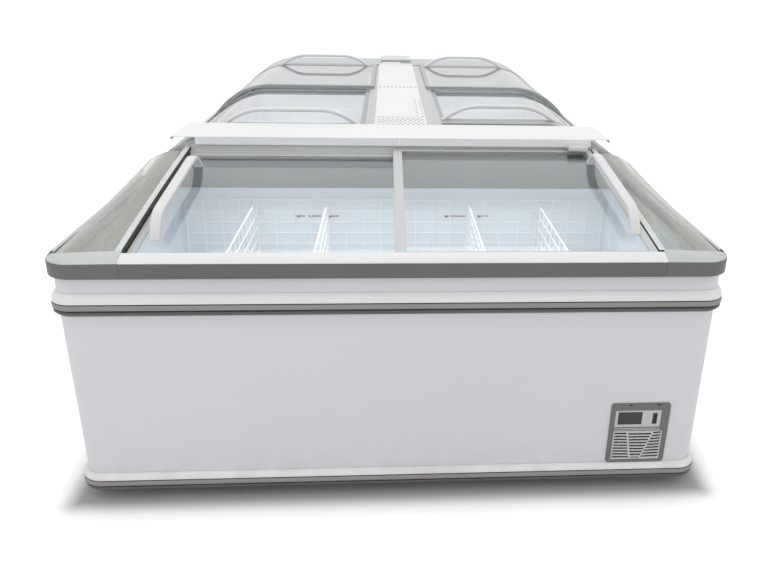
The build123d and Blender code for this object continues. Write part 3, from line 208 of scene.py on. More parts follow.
def clear_glass(name, tint, shadow_tint, film="", film_share=0.0):
    """Toughened glass with faint wiping smears, which lets the lamps through; a film adds streaks along Y."""
    n = Nodes(name)
    smear = n.ramp(n.noise(SMEAR_SCALE, 5, SMEAR_STRETCH), *SMEAR_REACH)
    roughness = n.math("ADD", GLASS_ROUGH, n.math("MULTIPLY", smear, SMEAR_ROUGH))
    shader = n.add("BsdfPrincipled", {
        "Base Color": srgb(tint), "Roughness": roughness, "IOR": GLASS_INDEX, "Transmission Weight": 1.0,
    })
    if film:
        streak = n.ramp(n.noise(STREAK_SCALE, 3, STREAK_STRETCH), *STREAK_REACH)
        n.feed(shader.inputs["Base Color"], n.mix(streak, srgb(tint), srgb(film)))
        share = n.math("SUBTRACT", 1.0, n.math("MULTIPLY", streak, film_share))
        n.feed(shader.inputs["Transmission Weight"], share)
    through = n.add("BsdfTransparent", {"Color": srgb(shadow_tint)})
    shadow = n.add("LightPath").outputs["Is Shadow Ray"]
    mixed = n.add("MixShader", {0: shadow, 1: shader.outputs[0], 2: through.outputs[0]})
    return n.finish(mixed.outputs[0])


# Painted shade: dark grey on the bumpers' lower lips, which lie in shade under the bead.
LIP_PAINTED_SHADE = "56575A"
# Painted shade: near-black in the bumpers' and inserts' grooves, where shade falls.
GROOVE_PAINTED_SHADE = "161718"
SEAM_DARK = "3A3A3B"
LOWER_LIP_SHADE_BANDS = ((0.597, 0.6095, LIP_PAINTED_SHADE), (0.036, 0.0485, LIP_PAINTED_SHADE))
GROOVE_SHADE_BANDS = ((0.6095, 0.6155, GROOVE_PAINTED_SHADE), (0.0485, 0.0545, GROOVE_PAINTED_SHADE))
INSERT_SEAMS = ((0.6295, 0.634, SEAM_DARK), (0.0685, 0.073, SEAM_DARK))
# Painted light: a lighter band on the header's front, lifting the shade that the cover's lip casts there.
HEADER_PAINTED_LIGHT_BANDS = ((0.845, 0.88, "D2D5D5"),)
ALONG_X = (0.05, 1, 1)
ALONG_Y = (1, 0.04, 1)
BRISTLES = (1, 0.1, 1)
# Painted light: lighter top colours for the grey rails, mouldings and frames, as if lit from above.
TOP_LIGHT_PAINTED_GREY = "C9CCCB"
TOP_LIGHT_PAINTED_PALE = "DADCDB"

SLOT_FINISHES = {
    "casing_paint": solid_finish("casing_paint", "D8D8DC", 0.42, grain=900, bump=0.06, mottle=0.02,
                                 dust=0.18),
    "liner_paint": solid_finish("liner_paint", "E4EAF1", 0.4, grain=600, bump=0.04, mottle=0.03),
    "foam": solid_finish("foam", "D8C79A", 0.9, grain=500, bump=0.5, mottle=0.1),
    # Painted shade: bumpers and inserts get near-black grooves, and the bumpers dark grey lower lips, from
    # their bands.
    "bumper_plastic": solid_finish("bumper_plastic", "E6E6E7", 0.4, grain=800, bump=0.05, mottle=0.03,
                                   dust=0.2, bands=LOWER_LIP_SHADE_BANDS + GROOVE_SHADE_BANDS),
    "insert_plastic": solid_finish("insert_plastic", "92908E", 0.5, grain=800, bump=0.06, mottle=0.05,
                                   dust=0.15, bands=GROOVE_SHADE_BANDS + INSERT_SEAMS),
    # Painted light: the rails, mouldings and frames below get lighter tops, as if lit from above.
    "rail_grey": solid_finish("rail_grey", "656566", 0.42, grain=1000, bump=0.08, mottle=0.05, top=TOP_LIGHT_PAINTED_GREY),
    "moulding_grey": solid_finish("moulding_grey", "676867", 0.4, grain=1000, bump=0.06, mottle=0.04,
                                  top=TOP_LIGHT_PAINTED_GREY),
    "strip_white": solid_finish("strip_white", "E9E9EA", 0.35, grain=800, bump=0.03, mottle=0.015),
    "frame_grey": solid_finish("frame_grey", "A9ABAB", 0.4, grain=900, bump=0.05, mottle=0.03,
                                top=TOP_LIGHT_PAINTED_PALE),
    # Painted light: the header's front band is lighter, lifting the shade the cover's lip casts there.
    "header_grey": solid_finish("header_grey", "878C8C", 0.4, grain=700, bump=0.04, mottle=0.05,
                                stretch=ALONG_X, bands=HEADER_PAINTED_LIGHT_BANDS),
    "brush": solid_finish("brush", "1F1F20", 0.9, grain=1500, bump=0.6, mottle=0.3, stretch=BRISTLES),
    "lid_frame": solid_finish("lid_frame", "C9CBCB", 0.35, grain=900, bump=0.04, mottle=0.03),
    "lid_glass": clear_glass("lid_glass", "F4F7F7", "EEF2F2"),
    "side_glass": clear_glass("side_glass", "E6E9E4", "DDE0DB", film="B4B8AE", film_share=0.5),
    "handle_white": solid_finish("handle_white", "E1E1E3", 0.34, grain=300, bump=0.0, mottle=0.01),
    "cover_white": solid_finish("cover_white", "EFEFF0", 0.38, grain=900, bump=0.04, mottle=0.015),
    "rail_light": solid_finish("rail_light", "C4C7C8", 0.36, grain=700, bump=0.05, mottle=0.04,
                               stretch=ALONG_Y, metal=0.35),
    "wire_white": solid_finish("wire_white", "F4F6F8", 0.35, grain=900, bump=0.05, mottle=0.03),
    "bezel_grey": solid_finish("bezel_grey", "6B6F6E", 0.5, grain=1400, bump=0.12, mottle=0.06),
    "fascia_silver": solid_finish("fascia_silver", "C3C5C7", 0.36, grain=1500, bump=0.06, mottle=0.04,
                                  metal=0.4, stretch=ALONG_X),
    "display_black": solid_finish("display_black", "15171A", 0.12, grain=300, bump=0.0, mottle=0.02,
                                  coat=0.6),
    "switch_black": solid_finish("switch_black", "17181A", 0.35, grain=1200, bump=0.06, mottle=0.05),
    "grille_grey": solid_finish("grille_grey", "C4C5C6", 0.45, grain=1200, bump=0.06, mottle=0.05),
    "steel": solid_finish("steel", "8E8F90", 0.35, grain=1200, bump=0.08, mottle=0.1, metal=0.9),
    "compressor_black": solid_finish("compressor_black", "1B1B1C", 0.45, grain=600, bump=0.1, mottle=0.1),
    "fin_metal": solid_finish("fin_metal", "9B9C9D", 0.4, grain=900, bump=0.08, mottle=0.08, metal=0.8),
    "fan_plastic": solid_finish("fan_plastic", "1E1F20", 0.5, grain=900, bump=0.08, mottle=0.1),
    "motor_metal": solid_finish("motor_metal", "5B5C5E", 0.45, grain=900, bump=0.08, mottle=0.1, metal=0.5),
}
LONG_FRAME = solid_finish("long_lid_frame", "A6A9AA", 0.35, grain=900, bump=0.04, mottle=0.03)
LOCK_GREY = solid_finish("lock_grey", "CFD1D2", 0.35, grain=900, bump=0.04, mottle=0.03)
# Painted light: the side rails get a lighter top, as if lit from above.
SIDE_RAIL = solid_finish("side_rail", "8C8D8B", 0.42, grain=1000, bump=0.08, mottle=0.05, top=TOP_LIGHT_PAINTED_GREY)
# Painted shade and light: dark walls for the shade along the frames' sides, and a lighter top as if lit from
# above.
PAINTED_SHADE_AND_LIGHT_FRAME = solid_finish("painted_shade_and_light_frame", "3B3C3C", 0.5, grain=900, bump=0.05, mottle=0.03,
                                 top=TOP_LIGHT_PAINTED_PALE)
MARK_RED = solid_finish("mark_red", "8A3A45", 0.5, grain=900, bump=0.02, mottle=0.05)


def finish_of(part):
    """The finish of a CAD node: its slot's, or a shade of it where the photograph shows one."""
    node = part["node"]
    if node.endswith(("near_lid_frame", "far_lid_frame")):
        return LONG_FRAME
    if node == "lid_lock":
        return LOCK_GREY
    # The side frames take the painted shade and light finish.
    if node == "side_frames":
        return PAINTED_SHADE_AND_LIGHT_FRAME
    return SLOT_FINISHES[part["material_slot"]]


def repaint(piece, finish):
    """Gives a piece another finish than its slot's."""
    piece.data.materials.clear()
    piece.data.materials.append(finish)


def dress_cad_nodes():
    for part in frame["record"]["subparts"]:
        repaint(frame["nodes"][part["node"]], finish_of(part))


# Mesh helpers

LENGTH_SHIFT = 1675
SHARP_ANGLE = math.radians(35)


def at(x, y, z):
    """A point given in millimetres, with y from the front edge, as a point of the frame."""
    return Vector((x, y - LENGTH_SHIFT, z)) / 1000


def new_piece(name, build, body, slot):
    """A mesh piece made by build(bm), riding on a body and finished from a slot."""
    bm = bmesh.new()
    build(bm)
    bmesh.ops.recalc_face_normals(bm, faces=bm.faces)
    mesh = bpy.data.meshes.new(name)
    bm.to_mesh(mesh)
    bm.free()
    for polygon in mesh.polygons:
        polygon.use_smooth = True
    mesh.set_sharp_from_angle(angle=SHARP_ANGLE)
    piece = bpy.data.objects.new(name, mesh)
    scene.collection.objects.link(piece)
    mesh.materials.append(SLOT_FINISHES[slot])
    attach(piece, body)
    return piece


def loft(bm, rings):
    """Joins rings of points into a skin, with an end face on each side."""
    rows = [[bm.verts.new(p) for p in ring] for ring in rings]
    count = len(rings[0])
    for one, two in zip(rows, rows[1:]):
        for k in range(count):
            after = (k + 1) % count
            bm.faces.new((one[k], one[after], two[after], two[k]))
    bm.faces.new(list(reversed(rows[0])))
    bm.faces.new(rows[-1])


def along_y(bm, section, y_low, y_high, side):
    """Extrudes an XZ section in millimetres along Y; side -1 mirrors it."""
    loft(bm, [[at(side * x, y, z) for x, z in section] for y in (y_low, y_high)])


def corners_of(x, y):
    """The four corners of a rectangle from two (low, high) pairs."""
    return ((x[0], y[0]), (x[1], y[0]), (x[1], y[1]), (x[0], y[1]))


def small_box(bm, x, y, z):
    """A box from three (low, high) pairs in millimetres."""
    loft(bm, [[at(*corner, level) for corner in corners_of(x, y)] for level in z])


def arc(centre, radius, start, stop, steps):
    """Points on a circle, as pairs; angles in degrees."""
    angles = [math.radians(start + (stop - start) * k / steps) for k in range(steps + 1)]
    return [(centre[0] + radius * math.cos(a), centre[1] + radius * math.sin(a)) for a in angles]


def tube(bm, points, radius, sides=8, closed=False):
    """A round wire through the points."""
    points = [Vector(p) for p in points]
    count = len(points)
    rings = []
    side_hint = None
    for i, point in enumerate(points):
        before = points[i - 1] if i or closed else point
        after = points[(i + 1) % count] if i < count - 1 or closed else point
        along = (after - before).normalized()
        if side_hint is None:
            side_hint = along.orthogonal().normalized()
        across = (side_hint - along * side_hint.dot(along)).normalized()
        side_hint = across
        other = along.cross(across)
        ring = []
        for k in range(sides):
            angle = 2 * math.pi * k / sides
            ring.append(bm.verts.new(point + radius * (across * math.cos(angle) + other * math.sin(angle))))
        rings.append(ring)
    pairs = list(zip(rings, rings[1:]))
    if closed:
        pairs.append((rings[-1], rings[0]))
    for one, two in pairs:
        for k in range(sides):
            bm.faces.new((one[k], one[(k + 1) % sides], two[(k + 1) % sides], two[k]))
    if not closed:
        bm.faces.new(list(reversed(rings[0])))
        bm.faces.new(rings[-1])


ROUND_STEPS = 4


def rounded_loop(u_range, v_range, corner, place):
    """Points round a rectangle with rounded corners; place(u, v) gives a point in space."""
    u0, u1 = u_range
    v0, v1 = v_range
    centres = ((u1 - corner, v1 - corner, 0), (u0 + corner, v1 - corner, 90),
               (u0 + corner, v0 + corner, 180), (u1 - corner, v0 + corner, 270))
    points = []
    for u, v, start in centres:
        points += [place(*p) for p in arc((u, v), corner, start, start + 90, ROUND_STEPS)]
    return points


# Curve of the end lids, which rises to the rear

FRONT_OF_CURVE = (48, 747.5)
REAR_OF_CURVE = (835, 848)
CURVE_BULGE = 4.5
SIDE_FRAME_LIFT = 18.5


def lid_height(y):
    """Height of the lower end lid's top face at y, in millimetres."""
    chord = Vector(REAR_OF_CURVE) - Vector(FRONT_OF_CURVE)
    half = chord.length / 2
    radius = (half ** 2 + CURVE_BULGE ** 2) / (2 * CURVE_BULGE)
    middle = (Vector(REAR_OF_CURVE) + Vector(FRONT_OF_CURVE)) / 2
    down = Vector((chord.y, -chord.x)).normalized()
    centre = middle + down * (radius - CURVE_BULGE)
    return centre.y + math.sqrt(radius ** 2 - (y - centre.x) ** 2)


# Top frame: corner mouldings, side rails and side glasses

HALF_WIDTH = 925
RAIL_BOTTOM = 706
RAIL_TOP = 750
RAIL_CORNER = 80
FRONT_BAND = 48
SIDE_BAND = 14
INNER_CORNER = 15
CORNER_STEPS = 12
MOULDING_LEG = 82
LEFT_MOULDING_INNER = 719
RIGHT_MOULDING_INNER = 733
ROOF_BREAK = 0.7
JOINT_GAP = 0.5
# The roof's height against the distance from the outer face
ROOF = ((0, 745.5), (1.3, 748.6), (4.5, 750.6), (17, 760.8), (48, 768))
RAIL_SEAT = 744
TRACK_TOP = 747
END_RAIL_INNER = 885
LONG_RAIL_INNER = 862
# Corners of the rails' sections, as x and height
END_RAIL = (
    (END_RAIL_INNER, RAIL_BOTTOM), (HALF_WIDTH, RAIL_BOTTOM), (HALF_WIDTH, 746), (923.6, 749), (920.5, 750.4),
    (911, RAIL_TOP), (911, RAIL_SEAT), (END_RAIL_INNER, RAIL_SEAT),
)
LONG_RAIL = (
    (LONG_RAIL_INNER, RAIL_BOTTOM), (HALF_WIDTH, RAIL_BOTTOM), (HALF_WIDTH, 745), (923.4, 748.4),
    (919.5, RAIL_TOP), (906, RAIL_TOP), (906, RAIL_SEAT), (888.5, RAIL_SEAT), (888.5, TRACK_TOP),
    (884.5, TRACK_TOP), (884.5, RAIL_SEAT), (LONG_RAIL_INNER, RAIL_SEAT),
)
FAR_RAIL_WIDTH = 16.7
FAR_CORNER_TURN = 8
FAR_END = 3350
FAR_HEAD = 3000
LONG_INNER = 60
END_DEPTH = 850


def roof_height(x, y):
    """Height of a corner moulding's roof: it climbs with the distance from the outer faces."""
    if x < HALF_WIDTH - RAIL_CORNER:
        inset = y
    elif y > RAIL_CORNER:
        inset = HALF_WIDTH - x
    else:
        inset = RAIL_CORNER - math.hypot(x - HALF_WIDTH + RAIL_CORNER, y - RAIL_CORNER)
    for (low, z_low), (high, z_high) in zip(ROOF, ROOF[1:]):
        if inset <= high:
            return z_low + (z_high - z_low) * max(0, inset - low) / (high - low)
    return ROOF[-1][1]


def make_moulding(bm, inner_x, side):
    """Corner of the top frame, skinned between its outer edge and the edge of its window."""
    outer_centre = (HALF_WIDTH - RAIL_CORNER, RAIL_CORNER)
    outer = [(inner_x, 0)] + arc(outer_centre, RAIL_CORNER, -90, 0, CORNER_STEPS)
    outer.append((HALF_WIDTH, MOULDING_LEG))
    inner_centre = (HALF_WIDTH - SIDE_BAND - INNER_CORNER, FRONT_BAND + INNER_CORNER)
    inner = [(inner_x, FRONT_BAND)] + arc(inner_centre, INNER_CORNER, -90, 0, CORNER_STEPS)
    inner.append((HALF_WIDTH - SIDE_BAND, MOULDING_LEG))
    rings = []
    for p, q in zip(outer, inner):
        reach = math.hypot(q[0] - p[0], q[1] - p[1])
        shares = [min(1, inset / reach) for inset, _ in ROOF[:-1]] + [ROOF_BREAK, 1]
        top = [(p[0] + (q[0] - p[0]) * s, p[1] + (q[1] - p[1]) * s) for s in shares]
        ring = [at(side * p[0], p[1], RAIL_BOTTOM)]
        ring += [at(side * x, y, roof_height(x, y)) for x, y in top]
        ring.append(at(side * q[0], q[1], RAIL_BOTTOM))
        rings.append(ring)
    loft(bm, rings)


def make_rails(bm):
    """Rails along both sides, and round the far end of each long cabinet."""
    for side in (-1, 1):
        along_y(bm, END_RAIL, MOULDING_LEG + JOINT_GAP, END_DEPTH, side)
        along_y(bm, LONG_RAIL, END_DEPTH + JOINT_GAP, FAR_HEAD, side)
        outer = [(LONG_INNER, FAR_END)]
        centre = (HALF_WIDTH - RAIL_CORNER, FAR_END - RAIL_CORNER)
        outer += arc(centre, RAIL_CORNER, 90, 0, CORNER_STEPS)
        outer.append((HALF_WIDTH, FAR_HEAD + JOINT_GAP))
        y_in = FAR_END - FAR_RAIL_WIDTH
        inner = [(min(x, LONG_RAIL_INNER), y_in) for x, y in outer[:FAR_CORNER_TURN]]
        inner += [(LONG_RAIL_INNER, min(y, y_in)) for x, y in outer[FAR_CORNER_TURN:]]
        rings = [[at(side * p[0], p[1], RAIL_BOTTOM), at(side * p[0], p[1], RAIL_SEAT),
                  at(side * q[0], q[1], RAIL_SEAT), at(side * q[0], q[1], RAIL_BOTTOM)]
                 for p, q in zip(outer, inner)]
        loft(bm, rings)


GLASS_INNER = 740.3
GLASS_SPAN = 169.7
GLASS_LOW = 744.3
GLASS_THICKNESS = 5
GLASS_FRONT = 49
GLASS_REAR = 837
GLASS_FRONT_SINK = 1
GLASS_REAR_SINK = 6
GLASS_STEPS = 12
GLASS_ARC_STEPS = 16
HEADER_FRONT = 784


def make_side_glasses(bm):
    """Fixed panes: a quarter ellipse that stands on the outer rail, tall at the rear."""
    front_rise = lid_height(GLASS_FRONT) + SIDE_FRAME_LIFT - GLASS_FRONT_SINK - GLASS_LOW
    rear_rise = lid_height(HEADER_FRONT) + SIDE_FRAME_LIFT - GLASS_REAR_SINK - GLASS_LOW
    unit = arc((0, 0), 1, 90, 0, GLASS_ARC_STEPS)
    for side in (-1, 1):
        rings = []
        for k in range(GLASS_STEPS + 1):
            share = k / GLASS_STEPS
            y = GLASS_FRONT + (GLASS_REAR - GLASS_FRONT) * share
            rise = front_rise + (rear_rise - front_rise) * share
            outer = [(GLASS_INNER + GLASS_SPAN * u, GLASS_LOW + rise * v) for u, v in unit]
            span = GLASS_SPAN - GLASS_THICKNESS
            low_rise = rise - GLASS_THICKNESS
            inner = [(GLASS_INNER + span * u, GLASS_LOW + low_rise * v) for u, v in reversed(unit)]
            rings.append([at(side * x, y, z) for x, z in outer + inner])
        loft(bm, rings)


def build_top_frame():
    for name, inner_x, side in (("right", RIGHT_MOULDING_INNER, 1), ("left", LEFT_MOULDING_INNER, -1)):
        moulding = new_piece(f"{name}_moulding_skin", lambda bm: make_moulding(bm, inner_x, side), "cabinet",
                             "moulding_grey")
        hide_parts(f"{name}_corner_moulding")
    rails = new_piece("rounded_side_rails", make_rails, "cabinet", "rail_grey")
    repaint(rails, SIDE_RAIL)
    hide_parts("side_rails")
    panes = new_piece("curved_side_panes", make_side_glasses, "cabinet", "side_glass")
    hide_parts("side_glasses")


# Handles

HANDLE_WIDTH = 31
HANDLE_THICKNESS = 14
HANDLE_HEIGHT = 62
HANDLE_CORNER = 5
BEND_STEPS = 10
END_HANDLE_FEET = (155, 694)
END_HANDLE_SINK = 1.7
END_RUN, END_BEND = 44, 80
LONG_RUN, LONG_BEND = 84, 220
LEFT_HANDLE_X = -665
RIGHT_HANDLE_X = 685
UPPER_LID_LIFT = 16


def bent_path(points, radius):
    """A polyline of (u, w) pairs with its inner corners rounded."""
    points = [Vector(p) for p in points]
    path = [points[0]]
    for before, corner, after in zip(points, points[1:], points[2:]):
        one = (before - corner).normalized()
        two = (after - corner).normalized()
        half = one.angle(two) / 2
        reach = radius / math.tan(half)
        centre = corner + (one + two).normalized() * (radius / math.sin(half))
        start = corner + one * reach - centre
        stop = corner + two * reach - centre
        turn = start.angle_signed(stop)
        for k in range(BEND_STEPS + 1):
            path.append(centre + Matrix.Rotation(-turn * k / BEND_STEPS, 2) @ start)
    path.append(points[-1])
    return path


def make_handle(bm, foot_a, foot_b, width_dir, run, bend):
    """A flat bar that stands on two feet and bends smoothly between them."""
    span = foot_b - foot_a
    length = span.length
    along = span.normalized()
    up = width_dir.cross(along).normalized()
    if up.z < 0:
        up = -up
    rise = (HANDLE_HEIGHT - HANDLE_THICKNESS / 2) / 1000
    run = run / 1000
    path = bent_path([(0, 0), (run, rise), (length - run, rise), (length, 0)], bend / 1000)
    half_width = HANDLE_WIDTH / 2000
    half_thick = HANDLE_THICKNESS / 2000
    section = rounded_loop((-half_width, half_width), (-half_thick, half_thick), HANDLE_CORNER / 1000,
                           lambda u, v: (u, v))
    rings = []
    for i, point in enumerate(path):
        before = path[max(0, i - 1)]
        after = path[min(len(path) - 1, i + 1)]
        course = (after - before).normalized()
        across = Vector((-course.y, course.x))
        ring = []
        for u, v in section:
            place = point + across * v
            if i in (0, len(path) - 1):
                place = place - course * (place.y / course.y)
            ring.append(foot_a + along * place.x + up * place.y + width_dir * u)
        rings.append(ring)
    loft(bm, rings)


def end_handle(x, lift):
    """Handle of an end lid, from front to rear beside its outer stile."""
    feet = [at(x, y, lid_height(y) + lift - END_HANDLE_SINK) for y in END_HANDLE_FEET]
    return lambda bm: make_handle(bm, *feet, Vector((1, 0, 0)), END_RUN, END_BEND)


def long_handle(node):
    """Handle of a long lid, across its broad stile, placed by the CAD handle's box."""
    low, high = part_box(node)
    y = (low.y + high.y) / 2
    feet = [Vector((x, y, low.z)) for x in (low.x, high.x)]
    return lambda bm: make_handle(bm, *feet, Vector((0, 1, 0)), LONG_RUN, LONG_BEND)


def build_handles():
    handles = {
        "left_lid_handle": end_handle(LEFT_HANDLE_X, 0),
        "right_lid_handle": end_handle(RIGHT_HANDLE_X, UPPER_LID_LIFT),
    }
    for side in ("left", "right"):
        for end in ("near", "far"):
            node = f"{side}_{end}_lid_handle"
            handles[node] = long_handle(node)
    for node, build in handles.items():
        piece = new_piece("smooth_" + node, build, node.removesuffix("_handle"), "handle_white")
        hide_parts(node)


# Wire baskets

WIRE_FRAME = 0.0026
WIRE_THIN = 0.0019
WIRE_CORNER = 0.018
WELD_STEP = 0.004
HALF_PANEL = 0.002
GRID_UPRIGHTS, GRID_RAILS = 24, 7
FRONT_GRID_INSET = 0.008
REAR_GRID_INSET = 0.014
DIVIDER_UPRIGHTS, DIVIDER_RAILS = 10, 6
END_DIVIDERS = 5
LONG_DIVIDERS = 4
LONG_DIVIDER_INNER = 0.1625


def wire_panel(bm, u_range, v_range, uprights, rails, place):
    """A rounded frame wire with thin uprights and rails welded across it.

    place(u, v, lift) gives a point, where the lift is how far it stands off the panel's middle.
    """
    rim = rounded_loop(u_range, v_range, WIRE_CORNER, lambda u, v: place(u, v, 0))
    tube(bm, rim, WIRE_FRAME, closed=True)
    u0, u1 = u_range
    v0, v1 = v_range
    for i in range(1, uprights):
        u = u0 + (u1 - u0) * i / uprights
        tube(bm, [place(u, v0, 0), place(u, v1, 0)], WIRE_THIN, 6)
    for j in range(1, rails):
        v = v0 + (v1 - v0) * j / rails
        tube(bm, [place(u0, v, WELD_STEP), place(u1, v, WELD_STEP)], WIRE_THIN, 6)


def inset(low, high):
    """A range drawn in by the frame wire's radius."""
    return (low + WIRE_FRAME, high - WIRE_FRAME)


def spaced(low, high, count):
    """The middles of panels set evenly from low to high, with the first and last inside them."""
    return [low + HALF_PANEL + (high - low - 2 * HALF_PANEL) * i / (count - 1) for i in range(count)]


def make_end_grids(bm):
    low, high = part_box("end_wire_grids")
    x_range = inset(low.x, high.x)
    z_range = inset(low.z, high.z)
    for y, lean in ((low.y + FRONT_GRID_INSET, 1), (high.y - REAR_GRID_INSET, -1)):
        wire_panel(bm, x_range, z_range, GRID_UPRIGHTS, GRID_RAILS,
                   lambda u, v, lift: (u, y + lean * lift, v))


def make_end_dividers(bm):
    low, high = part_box("end_wire_dividers")
    y_range = inset(low.y, high.y)
    z_range = inset(low.z, high.z)
    for x in spaced(low.x, high.x, END_DIVIDERS):
        wire_panel(bm, y_range, z_range, DIVIDER_UPRIGHTS, DIVIDER_RAILS, lambda u, v, lift: (x + lift, u, v))


def make_long_dividers(bm):
    low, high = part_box("long_wire_dividers")
    z_range = inset(low.z, high.z)
    for side in (-1, 1):
        x_range = sorted((side * LONG_DIVIDER_INNER, side * (high.x - WIRE_FRAME)))
        for y in spaced(low.y, high.y, LONG_DIVIDERS):
            wire_panel(bm, x_range, z_range, DIVIDER_UPRIGHTS, DIVIDER_RAILS,
                       lambda u, v, lift: (u, y + lift, v))


def build_wires():
    for node, build in (("end_wire_grids", make_end_grids), ("end_wire_dividers", make_end_dividers),
                        ("long_wire_dividers", make_long_dividers)):
        piece = new_piece("round_" + node, build, "cabinet", "wire_white")
        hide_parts(node)


# Perforated strip

STRIP_LEFT, STRIP_RIGHT = -77, 131
STRIP_LOW, STRIP_HIGH = 898, 900
NEAR_PANEL = (1080.5, 2084.5)
FAR_PANEL = (2085.5, 3104)
EDGE_FOLD = 1.5
EDGE_SINK = 0.02
# Top, inset and spans of the dark sheet of painted shade under the holes.
SHADE_SHEET_TOP = 899.4
SHADE_SHEET_INSET = 3
SHADE_SHEET_SPANS = ((1084, 1760), (2063, 2084), (2086, 2107))
HOLE_PITCH = 20
HOLE_RADIUS = 4.4
HOLE_STRETCH = 1.5
JOINT_STRETCH = 2.1
HOLES_ACROSS = 10
FIELD_START = 1086.0
FIELD_ROWS = 7
FIELD_PITCH = 26
LINE_CELLS = 24
LINE_PERIOD = 3
LINES_LEFT = 91
LINE_TURNS = ((LINES_LEFT + HOLE_PITCH, 0), (LINES_LEFT, 1))


def holed_cell(bm, x, y, length, stretch):
    """One piece of the strip as wide as the hole pitch, with a long hole in its middle."""
    middle = y + length / 2
    circle = arc((x + HOLE_PITCH / 2, middle), HOLE_RADIUS, 45, 405, 8)[:-1]
    rim = [(px, middle + (py - middle) * stretch) for px, py in circle]
    top = [bm.verts.new(at(*p, STRIP_HIGH)) for p in rim]
    low = [bm.verts.new(at(*p, SHADE_SHEET_TOP)) for p in rim]
    corners = ((1, 1), (0, 1), (0, 0), (1, 0))
    square = [bm.verts.new(at(x + a * HOLE_PITCH, y + b * length, STRIP_HIGH)) for a, b in corners]
    for k in range(4):
        after = (k + 1) % 4
        bm.faces.new((square[k], square[after], top[2 * after], top[2 * k + 1], top[2 * k]))
    for k in range(8):
        after = (k + 1) % 8
        bm.faces.new((top[k], top[after], low[after], low[k]))


def plain_cell(bm, x, y):
    """A plain piece of the strip's top face from two (low, high) pairs."""
    bm.faces.new([bm.verts.new(at(*corner, STRIP_HIGH)) for corner in corners_of(x, y)])


def holed_row(bm, y, count, length, stretch):
    """A row of holes across the strip, closed to its edges by plain faces."""
    start = (STRIP_LEFT + STRIP_RIGHT - count * HOLE_PITCH) / 2
    for k in range(count):
        holed_cell(bm, start + k * HOLE_PITCH, y, length, stretch)
    plain_cell(bm, (STRIP_LEFT, start), (y, y + length))
    plain_cell(bm, (start + count * HOLE_PITCH, STRIP_RIGHT), (y, y + length))


def make_strips(bm):
    """Two panels: a field of holes behind the cover, two lines of holes on the right, rows at the joint."""
    width = (STRIP_LEFT, STRIP_RIGHT)
    plain_cell(bm, width, (NEAR_PANEL[0], FIELD_START))
    y = FIELD_START
    for row in range(FIELD_ROWS):
        holed_row(bm, y, HOLES_ACROSS - row % 2, FIELD_PITCH, HOLE_STRETCH)
        y += FIELD_PITCH
    lines_end = y + LINE_CELLS * HOLE_PITCH
    plain_cell(bm, (STRIP_LEFT, LINES_LEFT), (y, lines_end))
    for k in range(LINE_CELLS):
        for x, turn in LINE_TURNS:
            if k % LINE_PERIOD == turn:
                holed_cell(bm, x, y + k * HOLE_PITCH, HOLE_PITCH, HOLE_STRETCH)
            else:
                plain_cell(bm, (x, x + HOLE_PITCH), (y + k * HOLE_PITCH, y + (k + 1) * HOLE_PITCH))
    joint_row = NEAR_PANEL[1] - HOLE_PITCH
    plain_cell(bm, width, (lines_end, joint_row))
    holed_row(bm, joint_row, HOLES_ACROSS, HOLE_PITCH, JOINT_STRETCH)
    holed_row(bm, FAR_PANEL[0], HOLES_ACROSS, HOLE_PITCH, 1)
    plain_cell(bm, width, (FAR_PANEL[0] + HOLE_PITCH, FAR_PANEL[1]))
    for panel in (NEAR_PANEL, FAR_PANEL):
        for edge in ((STRIP_LEFT, STRIP_LEFT + EDGE_FOLD), (STRIP_RIGHT - EDGE_FOLD, STRIP_RIGHT)):
            small_box(bm, edge, panel, (STRIP_LOW, STRIP_HIGH - EDGE_SINK))


def make_strip_painted_shade(bm):
    """Painted shade: a dark sheet under the holes, standing in for the shade inside them."""
    width = (STRIP_LEFT + SHADE_SHEET_INSET, STRIP_RIGHT - SHADE_SHEET_INSET)
    for span in SHADE_SHEET_SPANS:
        small_box(bm, width, span, (STRIP_LOW, SHADE_SHEET_TOP))


def build_strips():
    strips = new_piece("punched_strips", make_strips, "cabinet", "cover_white")
    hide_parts("perforated_strips")
    # Painted shade under the strip's holes.
    new_piece("strip_painted_shade", make_strip_painted_shade, "cabinet", "brush")


# Small details

LOAD_MARKS = ((-357, -325), (-314, -267), (-242, -202), (181, 259), (303, 344))
MARK_Y = (778.6, 779.6)
MARK_Z = (621.5, 625.5)
MARK_TAIL = (4, 12)
MARK_TAIL_Z = (618, 621.5)
RIDGE_X = (647, 785)
RIDGE_Y = (11.6, 13.2)
RIDGE_LEVELS = (204.5, 209.5)
RIDGE_HEIGHT = 2.2
CATCH_PLACES = (684, 770)
CATCH_WIDTH = 9
CATCH_Y = (12.6, 13.2)
CATCH_Z = (289, 293)


def make_load_marks(bm):
    """Load-line marks on the tank's rear wall: plain bars with a short tail at one end."""
    for x_low, x_high in LOAD_MARKS:
        small_box(bm, (x_low, x_high), MARK_Y, MARK_Z)
        small_box(bm, (x_low + MARK_TAIL[0], x_low + MARK_TAIL[1]), MARK_Y, MARK_TAIL_Z)


def make_panel_ridges(bm):
    """Two ridges across the panel, between the display plate and the grille."""
    for z in RIDGE_LEVELS:
        small_box(bm, RIDGE_X, RIDGE_Y, (z, z + RIDGE_HEIGHT))


def make_panel_catch_shades(bm):
    """Painted shade: thin dark boxes for the shade inside the slots of the panel's two catches, in its top
    edge.
    """
    for x in CATCH_PLACES:
        small_box(bm, (x, x + CATCH_WIDTH), CATCH_Y, CATCH_Z)


